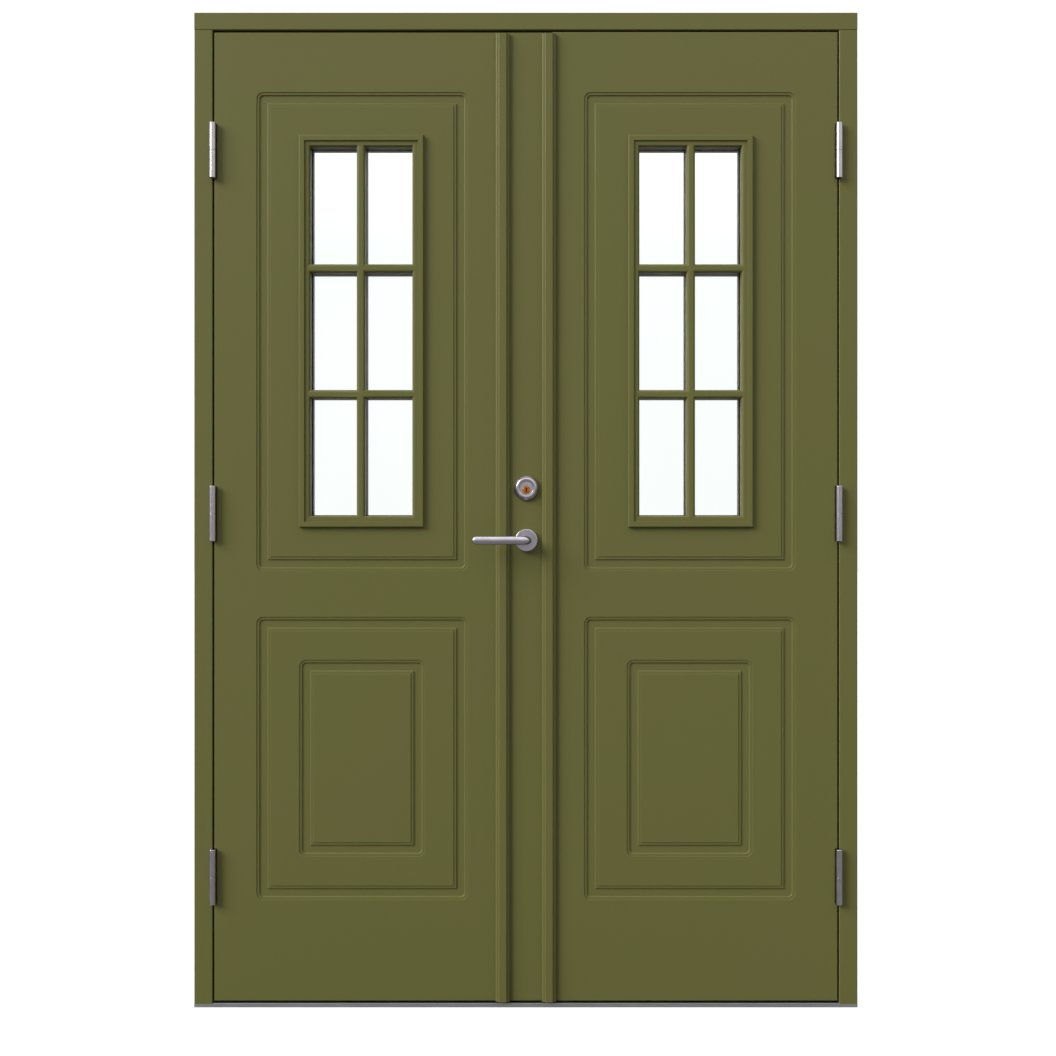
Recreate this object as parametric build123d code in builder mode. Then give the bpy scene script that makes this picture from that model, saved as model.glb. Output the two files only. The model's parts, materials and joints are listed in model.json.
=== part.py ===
"""A pair of panelled, glazed double doors hung in their own frame.

Millimetres. +Z is up, +X is to the right seen from outside, and -Y is outdoors.
The origin is the centre of the sill's underside. Depths are counted from the frame's
outer face, which the leaves are flush with, into the building.
"""
import os
from math import radians, tan

from build123d import *

os.makedirs("parts", exist_ok=True)

# Frame
frame_width = 1390.0
frame_height = 2085.0
frame_depth = 105.0
front_y = -frame_depth / 2
jamb_face = 38.5
head_face = 36.8
rebate_depth = 65.0
stop_lap = 18.5
jamb_foot = 7.0
eased_edge = 1.5
reveal_x = frame_width / 2 - jamb_face
stop_x = reveal_x - stop_lap
head_underside = frame_height - head_face
head_stop_drop = 20.2
head_stop_underside = head_underside - head_stop_drop

# Threshold
plate_thickness = 2.0
nose_depth = 3.0
plate_top = jamb_foot
rib_height = 1.5
tread_rib = (8.0, 12.0)
rib_depths = (30.0, 36.0, 42.0, 48.0)
rib_width = 3.0
riser_depth = 64.0
upstand_top = 28.0

# Weather seal, let into the stops and the threshold's upstand
seal_inset = 7.5
seal_squeeze = 0.4
seal_root = (2.0, 5.0)
seal_foot_half = 4.5
seal_lip_half = 3.0
floor_seal_heights = (17.0, 25.0)
seal_taper = 1.5

# Frame fixings, through the stops
fixing_depth = 85.0
fixing_heights = (150.0, 650.0, 1450.0, 1930.0)
fixing_hole_r = 5.5

# Cuts that open at a face start this far outside it
overrun = 2.0

# Leaves
leaf_thickness = 62.0
skin_thickness = 9.0
hinge_gap = 3.5
leaf_hinge_x = reveal_x - hinge_gap
leaf_foot = 13.8
leaf_tops = {"active": 2042.7, "passive": 2043.8}
meeting_xs = {"active": 51.3, "passive": 55.2}
meeting_bevel = tan(radians(3.5))
hinge_stile = 60.0
lock_stile = 110.0
top_rail = 90.0
bottom_rail = 120.0

# Routed panels
panel_x = 343.3
groove_width = 31.0
groove_depth = 5.5
groove_ledge_depth = 1.6
groove_ledge = 5.0
groove_slope = 8.6
tool_inset = 12.0
upper_panel = (443.8, 913.9, 1918.2)
lower_panel = (443.8, 224.3, 818.6)
nested_panel = (264.8, 315.1, 728.5)

# Windows
window_z = 1419.1
opening_width = 213.0
opening_height = 776.0
trim_face = 23.5
trim_proud = 9.0
trim_flange = 11.5
leaf_hole_width = opening_width + 2 * trim_flange
leaf_hole_height = opening_height + 2 * trim_flange
glass_thickness = 4.0
glass_unit_front = 19.0
glass_unit_back = leaf_thickness - glass_unit_front
glass_edge_gap = 2.0
spacer_width = 10.0
dummy_bar_width = 16.0
muntin_width = 18.0
muntin_proud = 5.5
moulding_width = 7.0
moulding_shoulder = 2.3
moulding_shoulder_depth = -3.4
moulding_foot = 1.5
trim_bevel = 4.0
pane_rows = 3

# Strips on the active leaf
strip_width = 30.0
strip_thickness = 10.5
strip_top = 2038.5
decor_strip_x = -48.4
meeting_strip_x = 48.4
strip_foot = 3.0
strip_shoulder = (5.0, 7.2)
strip_step = 5.6
strip_crown = 8.6
meeting_relief = 0.5
stop_strip_width = 50.0
stop_strip_thickness = 12.0
stop_strip_x = 60.0
stop_strip_gap = 4.0
stop_strip_edge = 3.0

# Hinges
hinge_heights = {"bottom": 274.6, "middle": 1034.5, "top": 1794.0}
hinge_axis_x = 654.8
hinge_axis_depth = -7.5
knuckle_r = 7.0
hinge_length = 116.0
hinge_plate = 3.0
hinge_plate_depth = 45.0
hinge_pin_r = 4.0
hinge_running_clearance = 0.05
hinge_split_gap = 0.4
hinge_cap = 8.0
hinge_pin_gap = 1.0

# Lock and handles
lock_x = 1.0
lever_z = 978.8
cylinder_z = 1088.0
plug_z = 1083.8
lock_case_size = (78.0, 16.0, 212.0)
lock_case_x = 5.0
lock_case_z = 1031.0
lock_mid_depth = 31.0
case_front = lock_mid_depth - lock_case_size[1] / 2
case_back = lock_mid_depth + lock_case_size[1] / 2
faceplate_size = (20.0, 236.0, 3.0)
bolt_clearance = 0.3
bolt_edge = 1.2
mortise_clearance = 1.3
strike_clearance = 1.0
strike_thickness = 10.0
dead_bolt_size = (38.0, 11.0, 28.0)
lever_bolt_size = (36.0, 11.0, 20.0)
bolt_tip_x = 48.4
strike_pocket_depth = 26.0
spindle_side = 8.0
spindle_reach = 18.5
spindle_drilling_r = 10.5
follower_r = 6.0
rose_r = 23.5
rose_thickness = 9.0
rose_bevel = 1.0
thumb_rose_thickness = 8.0
neck_r = 8.5
neck_clearance = 0.3
neck_gap = 0.5
lever_length = 112.0
lever_bar_height = 17.2
lever_bar_depth = 10.5
lever_bar_offset = 52.0
lever_bend_r = 15.0
lever_edge = 3.2
ring_r = 25.4
ring_lip_r = 20.5
ring_proud = 11.0
ring_edge = 4.0
ring_lip_width = 2.0
ring_bore_r = 14.3
cylinder_r = 14.2
cylinder_proud = 8.0
cylinder_drilling_r = 15.2
plug_r = 8.0
plug_proud = 8.5
plug_clearance = 0.05
plug_end = case_front - 1
keyway_size = (1.8, 9.0)
keyway_depth = 6.0
thumb_grip_size = (34.0, 9.0)
thumb_grip_proud = 20.0
tail_r = 4.6
tail_clearance = 0.6

# Flush bolts in the passive leaf
flush_bolt_x = 82.0
flush_bolt_r = 5.0
flush_bolt_clearance = 0.4
flush_bolt_length = 240.0
flush_bolt_tip_gap = 1.0
flush_bolt_edge = 1.0
flush_way_spare = 20.0
finger_height = 16.0
finger_depth = 9.0
finger_proud = 1.5
finger_slot_size = (20.0, 11.0, 50.0)
flush_pocket_height = 60.0
flush_plate_size = (20.0, 150.0, 2.5)
keeper_r = 6.5
keeper_plate_size = (60.0, 24.0, 3.0)
keeper_hole_depth = 20.0
floor_keeper_side = 19.0

SIDES = {"active": -1, "passive": 1}


def at_depth(depth):
    """Plane facing outdoors, x right and y up, at a depth behind the frame's face."""
    return Plane.XZ.offset(-front_y - depth)


def plan(height):
    """Level plane whose y is the depth behind the frame's face."""
    return Plane(origin=(0, front_y, height))


def section_x(x):
    """Upright plane across the frame: x is the depth, y is the height, and it faces +X."""
    return Plane(origin=(x, front_y, 0), x_dir=(0, 1, 0), z_dir=(1, 0, 0))


def keep(piece, name):
    """Label a finished piece and write it under its own name."""
    piece.part.label = name
    export_step(piece.part, f"parts/{name}.step")


def meeting_x(side, depth):
    """Where a leaf's bevelled meeting edge stands at a depth."""
    return meeting_xs[side] + SIDES[side] * depth * meeting_bevel


def leaf_plan(side, depth_0, depth_1):
    """Sketch a leaf's plan between two depths, from its hinge edge to its meeting edge."""
    hinge_x = SIDES[side] * leaf_hinge_x
    Polygon(
        (hinge_x, depth_0),
        (meeting_x(side, depth_0), depth_0),
        (meeting_x(side, depth_1), depth_1),
        (hinge_x, depth_1),
        align=None,
    )


def meeting_plane(side, height):
    """Plane on a leaf's meeting edge at lock depth, facing the other leaf, y up."""
    return Plane(
        origin=(meeting_x(side, lock_mid_depth), front_y + lock_mid_depth, height),
        x_dir=(SIDES[side] * meeting_bevel, 1, 0),
        z_dir=(-SIDES[side], meeting_bevel, 0),
    )


def groove_section(tool_side_only):
    """Sketch the routed groove's section: x is across it, outward, and y is its depth."""
    outer = tool_inset
    inner = 0.0 if tool_side_only else tool_inset - groove_width
    outer_wall = ((outer, -1), (outer, groove_ledge_depth), (outer - groove_ledge, groove_ledge_depth),
                  (outer - groove_slope, groove_depth))
    if tool_side_only:
        inner_wall = ((inner, groove_depth), (inner, -1))
    else:
        inner_wall = ((inner + groove_slope, groove_depth), (inner + groove_ledge, groove_ledge_depth),
                      (inner, groove_ledge_depth), (inner, -1))
    Polygon(*outer_wall, *inner_wall, align=None)


def routed_groove(x, panel):
    """Cutter for one groove: the tool runs round a sharp rectangle and rounds its outer corners."""
    width, bottom, top = panel
    half = width / 2 - tool_inset
    low = bottom + tool_inset
    high = top - tool_inset
    corners = [(x - half, low), (x + half, low), (x + half, high), (x - half, high)]
    directions = [(1, 0), (0, 1), (-1, 0), (0, -1)]
    with BuildPart() as cutter:
        for index, (along_x, along_z) in enumerate(directions):
            start = corners[index]
            end = corners[(index + 1) % 4]
            length = abs(end[0] - start[0]) + abs(end[1] - start[1])
            for place, corner_only in ((start, False), (end, True)):
                side_plane = Plane(
                    origin=(place[0], front_y, place[1]),
                    x_dir=(along_z, 0, -along_x),
                    z_dir=(along_x, 0, along_z),
                )
                with BuildSketch(side_plane):
                    groove_section(corner_only)
                if corner_only:
                    turn = Axis((place[0], front_y, place[1]), (0, -1, 0))
                    revolve(axis=turn, revolution_arc=90)
                else:
                    extrude(amount=length)
    return cutter.part


def window_hole(x, depth_0, depth_1):
    """Cut the glazed opening's hole through the leaf between two depths."""
    with BuildSketch(at_depth(depth_0)) as hole:
        with Locations((x, window_z)):
            Rectangle(leaf_hole_width, leaf_hole_height)
    extrude(hole.sketch, amount=depth_0 - depth_1, mode=Mode.SUBTRACT)


def hinge_mortises(x):
    """Cut the three shallow seats for the hinge plates in the upright face at x."""
    for height in hinge_heights.values():
        with BuildSketch(plan(height - hinge_length / 2)) as seat:
            with Locations((x, 0)):
                Rectangle(2 * hinge_plate, 2 * hinge_plate_depth)
        extrude(seat.sketch, amount=hinge_length, mode=Mode.SUBTRACT)


def round_cut(x, height, radius, depth_0, depth_1):
    """Drill a round hole through the leaf's thickness between two depths."""
    with BuildSketch(at_depth(depth_0)) as hole:
        with Locations((x, height)):
            Circle(radius)
    extrude(hole.sketch, amount=depth_0 - depth_1, mode=Mode.SUBTRACT)


def lock_drillings(depth_0, depth_1):
    """Drill the active leaf for the cylinder and for the lever spindle."""
    round_cut(lock_x, cylinder_z, cylinder_drilling_r, depth_0, depth_1)
    round_cut(lock_x, lever_z, spindle_drilling_r, depth_0, depth_1)


def edge_plate(side, height, size):
    """A square-ended plate let in flush with a meeting edge."""
    width, length, thickness = size
    with BuildSketch(meeting_plane(side, height)) as plate:
        Rectangle(width, length)
    extrude(plate.sketch, amount=-thickness)


def bolt_slot(height, size, x_0, x_1, clearance):
    """Cut the way for a flat bolt between two x positions."""
    with BuildSketch(Plane(origin=(x_0, front_y, height), x_dir=(0, 1, 0), z_dir=(1, 0, 0))) as way:
        with Locations((lock_mid_depth, 0)):
            Rectangle(size[1] + 2 * clearance, size[2] + 2 * clearance)
    extrude(way.sketch, amount=x_1 - x_0, mode=Mode.SUBTRACT)


# Weather seal: one run up the left stop, across the head and down the right one, and one on the threshold
seal_x = stop_x + seal_inset
seal_z = head_stop_underside + seal_inset
seal_face = leaf_thickness + seal_squeeze
with BuildPart() as frame_seal:
    with BuildLine() as seal_path:
        Polyline((-seal_x, front_y, upstand_top), (-seal_x, front_y, seal_z),
                 (seal_x, front_y, seal_z), (seal_x, front_y, upstand_top))
    with BuildSketch(Plane(origin=(-seal_x, front_y, upstand_top), x_dir=(1, 0, 0), z_dir=(0, 0, 1))):
        root_half, root_depth = seal_root
        half_section = ((root_half, rebate_depth + root_depth), (root_half, rebate_depth),
                        (seal_foot_half, rebate_depth), (seal_lip_half, seal_face))
        other_half = [(-x, depth) for x, depth in reversed(half_section)]
        Polygon(*half_section, *other_half, align=None)
    sweep(path=seal_path.line, transition=Transition.RIGHT)
    with BuildSketch(section_x(-stop_x)):
        low, high = floor_seal_heights
        Polygon((riser_depth, low), (riser_depth, high), (seal_face, high - seal_taper),
                (seal_face, low + seal_taper), align=None)
    extrude(amount=2 * stop_x)
keep(frame_seal, "frame_seal")

# Frame: the head lies over both jambs, and all three carry a stop behind the leaves
with BuildPart() as frame_head:
    with BuildSketch(section_x(-frame_width / 2)):
        Polygon((0, head_underside), (frame_depth, head_underside), (frame_depth, frame_height),
                (0, frame_height), align=None)
    extrude(amount=frame_width)
    with BuildSketch(section_x(-reveal_x)):
        Polygon((rebate_depth, head_stop_underside), (frame_depth, head_stop_underside),
                (frame_depth, head_underside), (rebate_depth, head_underside), align=None)
    extrude(amount=2 * reveal_x)
    front_edges = frame_head.edges().filter_by(Axis.X).group_by(Axis.Y)[0]
    chamfer(front_edges, eased_edge)
    with Locations((flush_bolt_x, front_y + lock_mid_depth, head_underside + keeper_plate_size[2] / 2)):
        Box(*keeper_plate_size, mode=Mode.SUBTRACT)
    with Locations((flush_bolt_x, front_y + lock_mid_depth, head_underside + keeper_hole_depth / 2)):
        Cylinder(keeper_r, keeper_hole_depth, mode=Mode.SUBTRACT)
    add(frame_seal.part, mode=Mode.SUBTRACT)
keep(frame_head, "frame_head")

for name, side in (("left", -1), ("right", 1)):
    with BuildPart() as frame_jamb:
        with BuildSketch(plan(jamb_foot)):
            Polygon((side * frame_width / 2, 0), (side * reveal_x, 0), (side * reveal_x, frame_depth),
                    (side * frame_width / 2, frame_depth), align=None)
        extrude(amount=head_underside - jamb_foot)
        with BuildSketch(plan(upstand_top)):
            Polygon((side * reveal_x, rebate_depth), (side * stop_x, rebate_depth), (side * stop_x, frame_depth),
                    (side * reveal_x, frame_depth), align=None)
        extrude(amount=head_stop_underside - upstand_top)
        chamfer(frame_jamb.edges().filter_by(Axis.Z).group_by(Axis.Y)[0], eased_edge)
        hinge_mortises(side * reveal_x)
        for height in fixing_heights:
            face = Plane(origin=(side * stop_x, front_y + fixing_depth, height), z_dir=(-side, 0, 0))
            with Locations(face):
                Hole(fixing_hole_r)
        add(frame_seal.part, mode=Mode.SUBTRACT)
    keep(frame_jamb, f"frame_jamb_{name}")

# Threshold: a hardwood sill under a folded aluminium cap
with BuildPart() as threshold_sill:
    with BuildSketch(section_x(-frame_width / 2)):
        Polygon((nose_depth, 0), (frame_depth, 0), (frame_depth, plate_top), (riser_depth + plate_thickness, plate_top),
                (riser_depth + plate_thickness, plate_top - plate_thickness),
                (nose_depth, plate_top - plate_thickness), align=None)
    extrude(amount=frame_width)
    with BuildSketch(section_x(-reveal_x)):
        Polygon((riser_depth + plate_thickness, plate_top - plate_thickness), (frame_depth, plate_top - plate_thickness),
                (frame_depth, upstand_top - plate_thickness),
                (riser_depth + plate_thickness, upstand_top - plate_thickness), align=None)
    extrude(amount=2 * reveal_x)
    with Locations((flush_bolt_x, front_y + lock_mid_depth, 0)):
        Box(floor_keeper_side, floor_keeper_side, 2 * upstand_top, mode=Mode.SUBTRACT)
keep(threshold_sill, "threshold_sill")

with BuildPart() as threshold_cap:
    with BuildSketch(section_x(-frame_width / 2)):
        Polygon((0, 0), (nose_depth, 0), (nose_depth, plate_top - plate_thickness),
                (riser_depth + plate_thickness, plate_top - plate_thickness),
                (riser_depth + plate_thickness, plate_top), (0, plate_top), align=None)
    extrude(amount=frame_width)
    with BuildSketch(section_x(-reveal_x)):
        Polygon((riser_depth, plate_top), (riser_depth + plate_thickness, plate_top),
                (riser_depth + plate_thickness, upstand_top - plate_thickness),
                (frame_depth, upstand_top - plate_thickness), (frame_depth, upstand_top),
                (riser_depth, upstand_top), align=None)
    extrude(amount=2 * reveal_x)
    with BuildSketch(section_x(-reveal_x)):
        with Locations((tread_rib[0], plate_top)):
            Rectangle(tread_rib[1], 2 * rib_height)
        with Locations(*[(depth, plate_top) for depth in rib_depths]):
            Rectangle(rib_width, 2 * rib_height)
    extrude(amount=2 * reveal_x)
    with Locations((flush_bolt_x, front_y + lock_mid_depth, 0)):
        Box(floor_keeper_side, floor_keeper_side, 2 * upstand_top, mode=Mode.SUBTRACT)
keep(threshold_cap, "threshold_cap")

with BuildPart() as flush_bolt_keepers:
    with Locations((flush_bolt_x, front_y + lock_mid_depth, head_underside + keeper_plate_size[2] / 2)):
        Box(*keeper_plate_size)
        Cylinder(keeper_r, 2 * keeper_plate_size[2], mode=Mode.SUBTRACT)
    with Locations((flush_bolt_x, front_y + lock_mid_depth, (plate_top + rib_height) / 2)):
        Box(floor_keeper_side, floor_keeper_side, plate_top + rib_height)
        Cylinder(keeper_r, 2 * plate_top, mode=Mode.SUBTRACT)
keep(flush_bolt_keepers, "flush_bolt_keepers")


def hinge_half(side, height, upper):
    """Half a lift-off hinge: its knuckle, its tab back from the axis, and its flat plate."""
    axis_x = side * hinge_axis_x
    plate_x = side * (leaf_hinge_x - hinge_plate / 2 if upper else reveal_x + hinge_plate / 2)
    knuckle_length = hinge_length / 2 - hinge_split_gap / 2
    end = 1 if upper else -1
    inner_end = height + end * hinge_split_gap / 2
    with BuildPart() as half:
        with BuildSketch(plan(inner_end)):
            with Locations((axis_x, hinge_axis_depth)):
                Circle(knuckle_r)
            with Locations((plate_x, hinge_axis_depth / 2)):
                Rectangle(hinge_plate, -hinge_axis_depth)
        extrude(amount=end * knuckle_length)
        with BuildSketch(plan(height - hinge_length / 2)):
            with Locations((plate_x, hinge_plate_depth / 2)):
                Rectangle(hinge_plate, hinge_plate_depth)
        extrude(amount=hinge_length)
        if upper:
            with BuildSketch(plan(inner_end)):
                with Locations((axis_x, hinge_axis_depth)):
                    Circle(hinge_pin_r + hinge_running_clearance)
            extrude(amount=knuckle_length - hinge_cap, mode=Mode.SUBTRACT)
        else:
            with BuildSketch(plan(inner_end)):
                with Locations((axis_x, hinge_axis_depth)):
                    Circle(hinge_pin_r)
            extrude(amount=knuckle_length - hinge_cap - hinge_pin_gap)
    return half


for hinge_side, side in (("left", -1), ("right", 1)):
    for place, height in hinge_heights.items():
        for half_name, upper in (("leaf_half", True), ("frame_half", False)):
            keep(hinge_half(side, height, upper), f"hinge_{hinge_side}_{place}_{half_name}")


def leaf_frame(side):
    """The timber ring between the skins, with its seats for hinges and lock."""
    sign = SIDES[side]
    top = leaf_tops[side]
    with BuildPart() as ring:
        with BuildSketch(plan(leaf_foot)):
            leaf_plan(side, skin_thickness, leaf_thickness - skin_thickness)
        extrude(amount=top - leaf_foot)
        with BuildSketch(at_depth(skin_thickness)):
            core_outline(side)
        extrude(amount=2 * skin_thickness - leaf_thickness, mode=Mode.SUBTRACT)
        hinge_mortises(sign * leaf_hinge_x)
        if side == "active":
            with Locations((lock_case_x, front_y + lock_mid_depth, lock_case_z)):
                Box(*lock_case_size, mode=Mode.SUBTRACT)
            lock_drillings(skin_thickness, leaf_thickness - skin_thickness)
            for height, size in ((cylinder_z, dead_bolt_size), (lever_z, lever_bolt_size)):
                bolt_slot(height, size, lock_case_x, meeting_xs["active"] + overrun, mortise_clearance)
            add(lock_faceplate.part, mode=Mode.SUBTRACT)
        else:
            for height, size in ((cylinder_z, dead_bolt_size), (lever_z, lever_bolt_size)):
                bolt_slot(height, size, meeting_xs["passive"], meeting_xs["passive"] + strike_pocket_depth,
                          2 * strike_clearance)
            flush_bolt_ways()
            add(strike_plate.part, mode=Mode.SUBTRACT)
            add(flush_bolt_plates.part, mode=Mode.SUBTRACT)
    return ring


def core_outline(side):
    """Sketch the outline of the space between a leaf's stiles and rails."""
    sign = SIDES[side]
    hinge_x = sign * (leaf_hinge_x - hinge_stile)
    lock_side_x = meeting_xs[side] + sign * lock_stile
    low = leaf_foot + bottom_rail
    high = leaf_tops[side] - top_rail
    Polygon((hinge_x, low), (lock_side_x, low), (lock_side_x, high), (hinge_x, high), align=None)


def flush_bolt_ways():
    """Groove the passive leaf's stile for both flush bolts, and open their finger pockets."""
    way_r = flush_bolt_r + flush_bolt_clearance
    for end in (-1, 1):
        with BuildSketch(plan(flush_tip(end) + end * overrun)) as way:
            with Locations((flush_bolt_x, lock_mid_depth)):
                Rectangle(2 * way_r, 2 * way_r)
        way_length = overrun + flush_bolt_length + flush_way_spare
        extrude(way.sketch, amount=-end * way_length, mode=Mode.SUBTRACT)
        pocket_x = (flush_bolt_x + meeting_xs["passive"]) / 2
        pocket_width = flush_bolt_x - meeting_xs["passive"] + 2 * way_r
        with Locations((pocket_x, front_y + lock_mid_depth, flush_finger(end))):
            Box(pocket_width, 2 * way_r, flush_pocket_height, mode=Mode.SUBTRACT)


def flush_tip(end):
    """Height of a withdrawn flush bolt's tip, at the leaf's top (1) or foot (-1)."""
    return leaf_tops["passive"] - flush_bolt_tip_gap if end > 0 else leaf_foot + flush_bolt_tip_gap


def flush_finger(end):
    """Height of the middle of a flush bolt's finger piece."""
    return flush_tip(end) - end * (flush_bolt_length - finger_height / 2)


def leaf_core(side):
    """The insulating core, in the ring and round the window hole."""
    with BuildPart() as core:
        with BuildSketch(at_depth(skin_thickness)):
            core_outline(side)
        extrude(amount=2 * skin_thickness - leaf_thickness)
        window_hole(SIDES[side] * panel_x, skin_thickness, leaf_thickness - skin_thickness)
    return core


def leaf_skin(side, outside):
    """A milled face board: three routed grooves, eased edges and the window hole."""
    sign = SIDES[side]
    middle = Plane.XZ.offset(-front_y - leaf_thickness / 2)
    depth_0 = 0.0 if outside else leaf_thickness - skin_thickness
    with BuildPart() as skin:
        with BuildSketch(plan(leaf_foot)):
            leaf_plan(side, depth_0, depth_0 + skin_thickness)
        extrude(amount=leaf_tops[side] - leaf_foot)
        faces_out = skin.faces().filter_by(Axis.Y).sort_by(Axis.Y)
        face = faces_out[0] if outside else faces_out[-1]
        chamfer(face.edges(), eased_edge)
        window_hole(sign * panel_x, depth_0, depth_0 + skin_thickness)
        for panel in (upper_panel, lower_panel, nested_panel):
            cutter = routed_groove(sign * panel_x, panel)
            add(cutter if outside else mirror(cutter, about=middle, mode=Mode.PRIVATE), mode=Mode.SUBTRACT)
        if outside:
            hinge_mortises(sign * leaf_hinge_x)
        if side == "active":
            lock_drillings(depth_0, depth_0 + skin_thickness)
    return skin


def window_trim(side, outside):
    """The mitred frame that holds the glass: a moulded face and a flange into the leaf."""
    x = SIDES[side] * panel_x
    half_width = opening_width / 2
    low = window_z - opening_height / 2
    high = window_z + opening_height / 2
    with BuildPart() as trim:
        with BuildLine() as path:
            Polyline((x, front_y, low), (x + half_width, front_y, low), (x + half_width, front_y, high),
                     (x - half_width, front_y, high), (x - half_width, front_y, low), (x, front_y, low))
        with BuildSketch(Plane(origin=(x, front_y, low), x_dir=(0, 0, -1), z_dir=(1, 0, 0))):
            Polygon((0, moulding_foot), (moulding_shoulder, moulding_shoulder_depth), (moulding_width, -muntin_proud),
                    (trim_flange, -muntin_proud), (trim_flange, -trim_proud), (trim_face - trim_bevel, -trim_proud),
                    (trim_face, trim_bevel - trim_proud), (trim_face, 0), (trim_flange, 0),
                    (trim_flange, glass_unit_front), (0, glass_unit_front), align=None)
        sweep(path=path.line, transition=Transition.RIGHT)
    return trim


def window_grille(side, trim):
    """Muntins that part the opening into six panes, coped into the trim at their ends."""
    x = SIDES[side] * panel_x
    reach = trim_flange
    half = muntin_width / 2
    upright = Plane(origin=(x, front_y, window_z - opening_height / 2 - reach), z_dir=(0, 0, 1))
    pitch = opening_height / pane_rows
    with BuildPart() as grille:
        with BuildSketch(upright):
            muntin_section(half)
        extrude(amount=opening_height + 2 * reach)
        for row in range(1, pane_rows):
            height = window_z - opening_height / 2 + row * pitch
            level = Plane(origin=(x - opening_width / 2 - reach, front_y, height), x_dir=(0, 0, -1), z_dir=(1, 0, 0))
            with BuildSketch(level):
                muntin_section(half)
            extrude(amount=opening_width + 2 * reach)
        add(trim, mode=Mode.SUBTRACT)
        for offcut in grille.solids().sort_by(SortBy.VOLUME)[:-1]:
            add(offcut, mode=Mode.SUBTRACT)
    return grille


def muntin_section(half):
    """Sketch a muntin's section: x is across it and y is the depth."""
    side_points = ((half - moulding_width, -muntin_proud), (half - moulding_shoulder, moulding_shoulder_depth),
                   (half, moulding_foot), (half, glass_unit_front))
    mirrored = [(-x, depth) for x, depth in reversed(side_points)]
    Polygon(*side_points, *mirrored, align=None)


def window_glass(side):
    """Two panes of one sealed unit."""
    x = SIDES[side] * panel_x
    with BuildPart() as glass:
        for depth in (glass_unit_front, glass_unit_back - glass_thickness):
            with BuildSketch(at_depth(depth)):
                with Locations((x, window_z)):
                    Rectangle(leaf_hole_width - 2 * glass_edge_gap, leaf_hole_height - 2 * glass_edge_gap)
            extrude(amount=-glass_thickness)
    return glass


def window_spacer(side):
    """The bar round the glass unit's edge, and dummy bars behind the muntins."""
    x = SIDES[side] * panel_x
    width = leaf_hole_width - 2 * glass_edge_gap
    height = leaf_hole_height - 2 * glass_edge_gap
    pitch = opening_height / pane_rows
    with BuildPart() as spacer:
        with BuildSketch(at_depth(glass_unit_front + glass_thickness)):
            with Locations((x, window_z)):
                Rectangle(width, height)
                Rectangle(width - 2 * spacer_width, height - 2 * spacer_width, mode=Mode.SUBTRACT)
                Rectangle(dummy_bar_width, height)
                with GridLocations(0, pitch, 1, pane_rows - 1):
                    Rectangle(width, dummy_bar_width)
        extrude(amount=2 * glass_thickness + glass_unit_front - glass_unit_back)
    return spacer


# Lock furniture in the meeting edges comes first, because the leaves are cut for it
with BuildPart() as lock_faceplate:
    edge_plate("active", lock_case_z, faceplate_size)
    for height, size in ((cylinder_z, dead_bolt_size), (lever_z, lever_bolt_size)):
        bolt_slot(height, size, lock_case_x, meeting_xs["active"] + overrun, bolt_clearance)

with BuildPart() as strike_plate:
    edge_plate("passive", lock_case_z, faceplate_size)
    for height, size in ((cylinder_z, dead_bolt_size), (lever_z, lever_bolt_size)):
        bolt_slot(height, size, meeting_xs["passive"] - overrun, meeting_xs["passive"] + strike_thickness,
                  strike_clearance)

with BuildPart() as flush_bolt_plates:
    for end in (-1, 1):
        edge_plate("passive", flush_finger(end), flush_plate_size)
        with Locations((meeting_xs["passive"], front_y + lock_mid_depth, flush_finger(end))):
            Box(*finger_slot_size, mode=Mode.SUBTRACT)

for side in SIDES:
    keep(leaf_frame(side), f"{side}_leaf_frame")
    keep(leaf_core(side), f"{side}_leaf_core")
    keep(window_glass(side), f"{side}_window_glass")
    keep(window_spacer(side), f"{side}_window_spacer")
    trim = window_trim(side, True)
    grille = window_grille(side, trim.part)
    keep(trim, f"{side}_window_trim_outer")
    keep(grille, f"{side}_window_grille_outer")
    for piece, label in ((trim, "trim"), (grille, "grille")):
        with BuildPart() as inner_piece:
            mirror(piece.part, about=at_depth(leaf_thickness / 2))
        keep(inner_piece, f"{side}_window_{label}_inner")
    for outside, face_name in ((True, "outer"), (False, "inner")):
        keep(leaf_skin(side, outside), f"{side}_leaf_skin_{face_name}")

keep(lock_faceplate, "lock_faceplate")
keep(strike_plate, "strike_plate")
keep(flush_bolt_plates, "flush_bolt_plates")


def strip_half():
    """Outline of a moulded strip's left half: two quarter rounds, one above the other."""
    half = strip_width / 2
    shoulder_width, shoulder = strip_shoulder
    Line((-half, 0), (-half, -strip_foot))
    TangentArc((-half, -strip_foot), (shoulder_width - half, -shoulder), tangent=(0, -1))
    Line((shoulder_width - half, -shoulder), (strip_step - half, -shoulder))
    TangentArc((strip_step - half, -shoulder), (strip_crown - half, -strip_thickness), tangent=(0, -1))
    Line((strip_crown - half, -strip_thickness), (0, -strip_thickness))


for name, x in (("decor_strip", decor_strip_x), ("meeting_strip", meeting_strip_x)):
    with BuildPart() as strip:
        with BuildSketch(Plane(origin=(x, front_y, leaf_foot))):
            with BuildLine():
                strip_half()
                mirror(about=Plane.YZ)
                Line((-strip_width / 2, 0), (strip_width / 2, 0))
            make_face()
        extrude(amount=strip_top - leaf_foot)
        if name == "meeting_strip":
            lap = x + strip_width / 2 - meeting_xs["active"]
            with BuildSketch(plan(leaf_foot)):
                with Locations((meeting_xs["active"] + lap / 2, 0)):
                    Rectangle(lap, 2 * meeting_relief)
            extrude(amount=strip_top - leaf_foot, mode=Mode.SUBTRACT)
    keep(strip, name)

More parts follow.
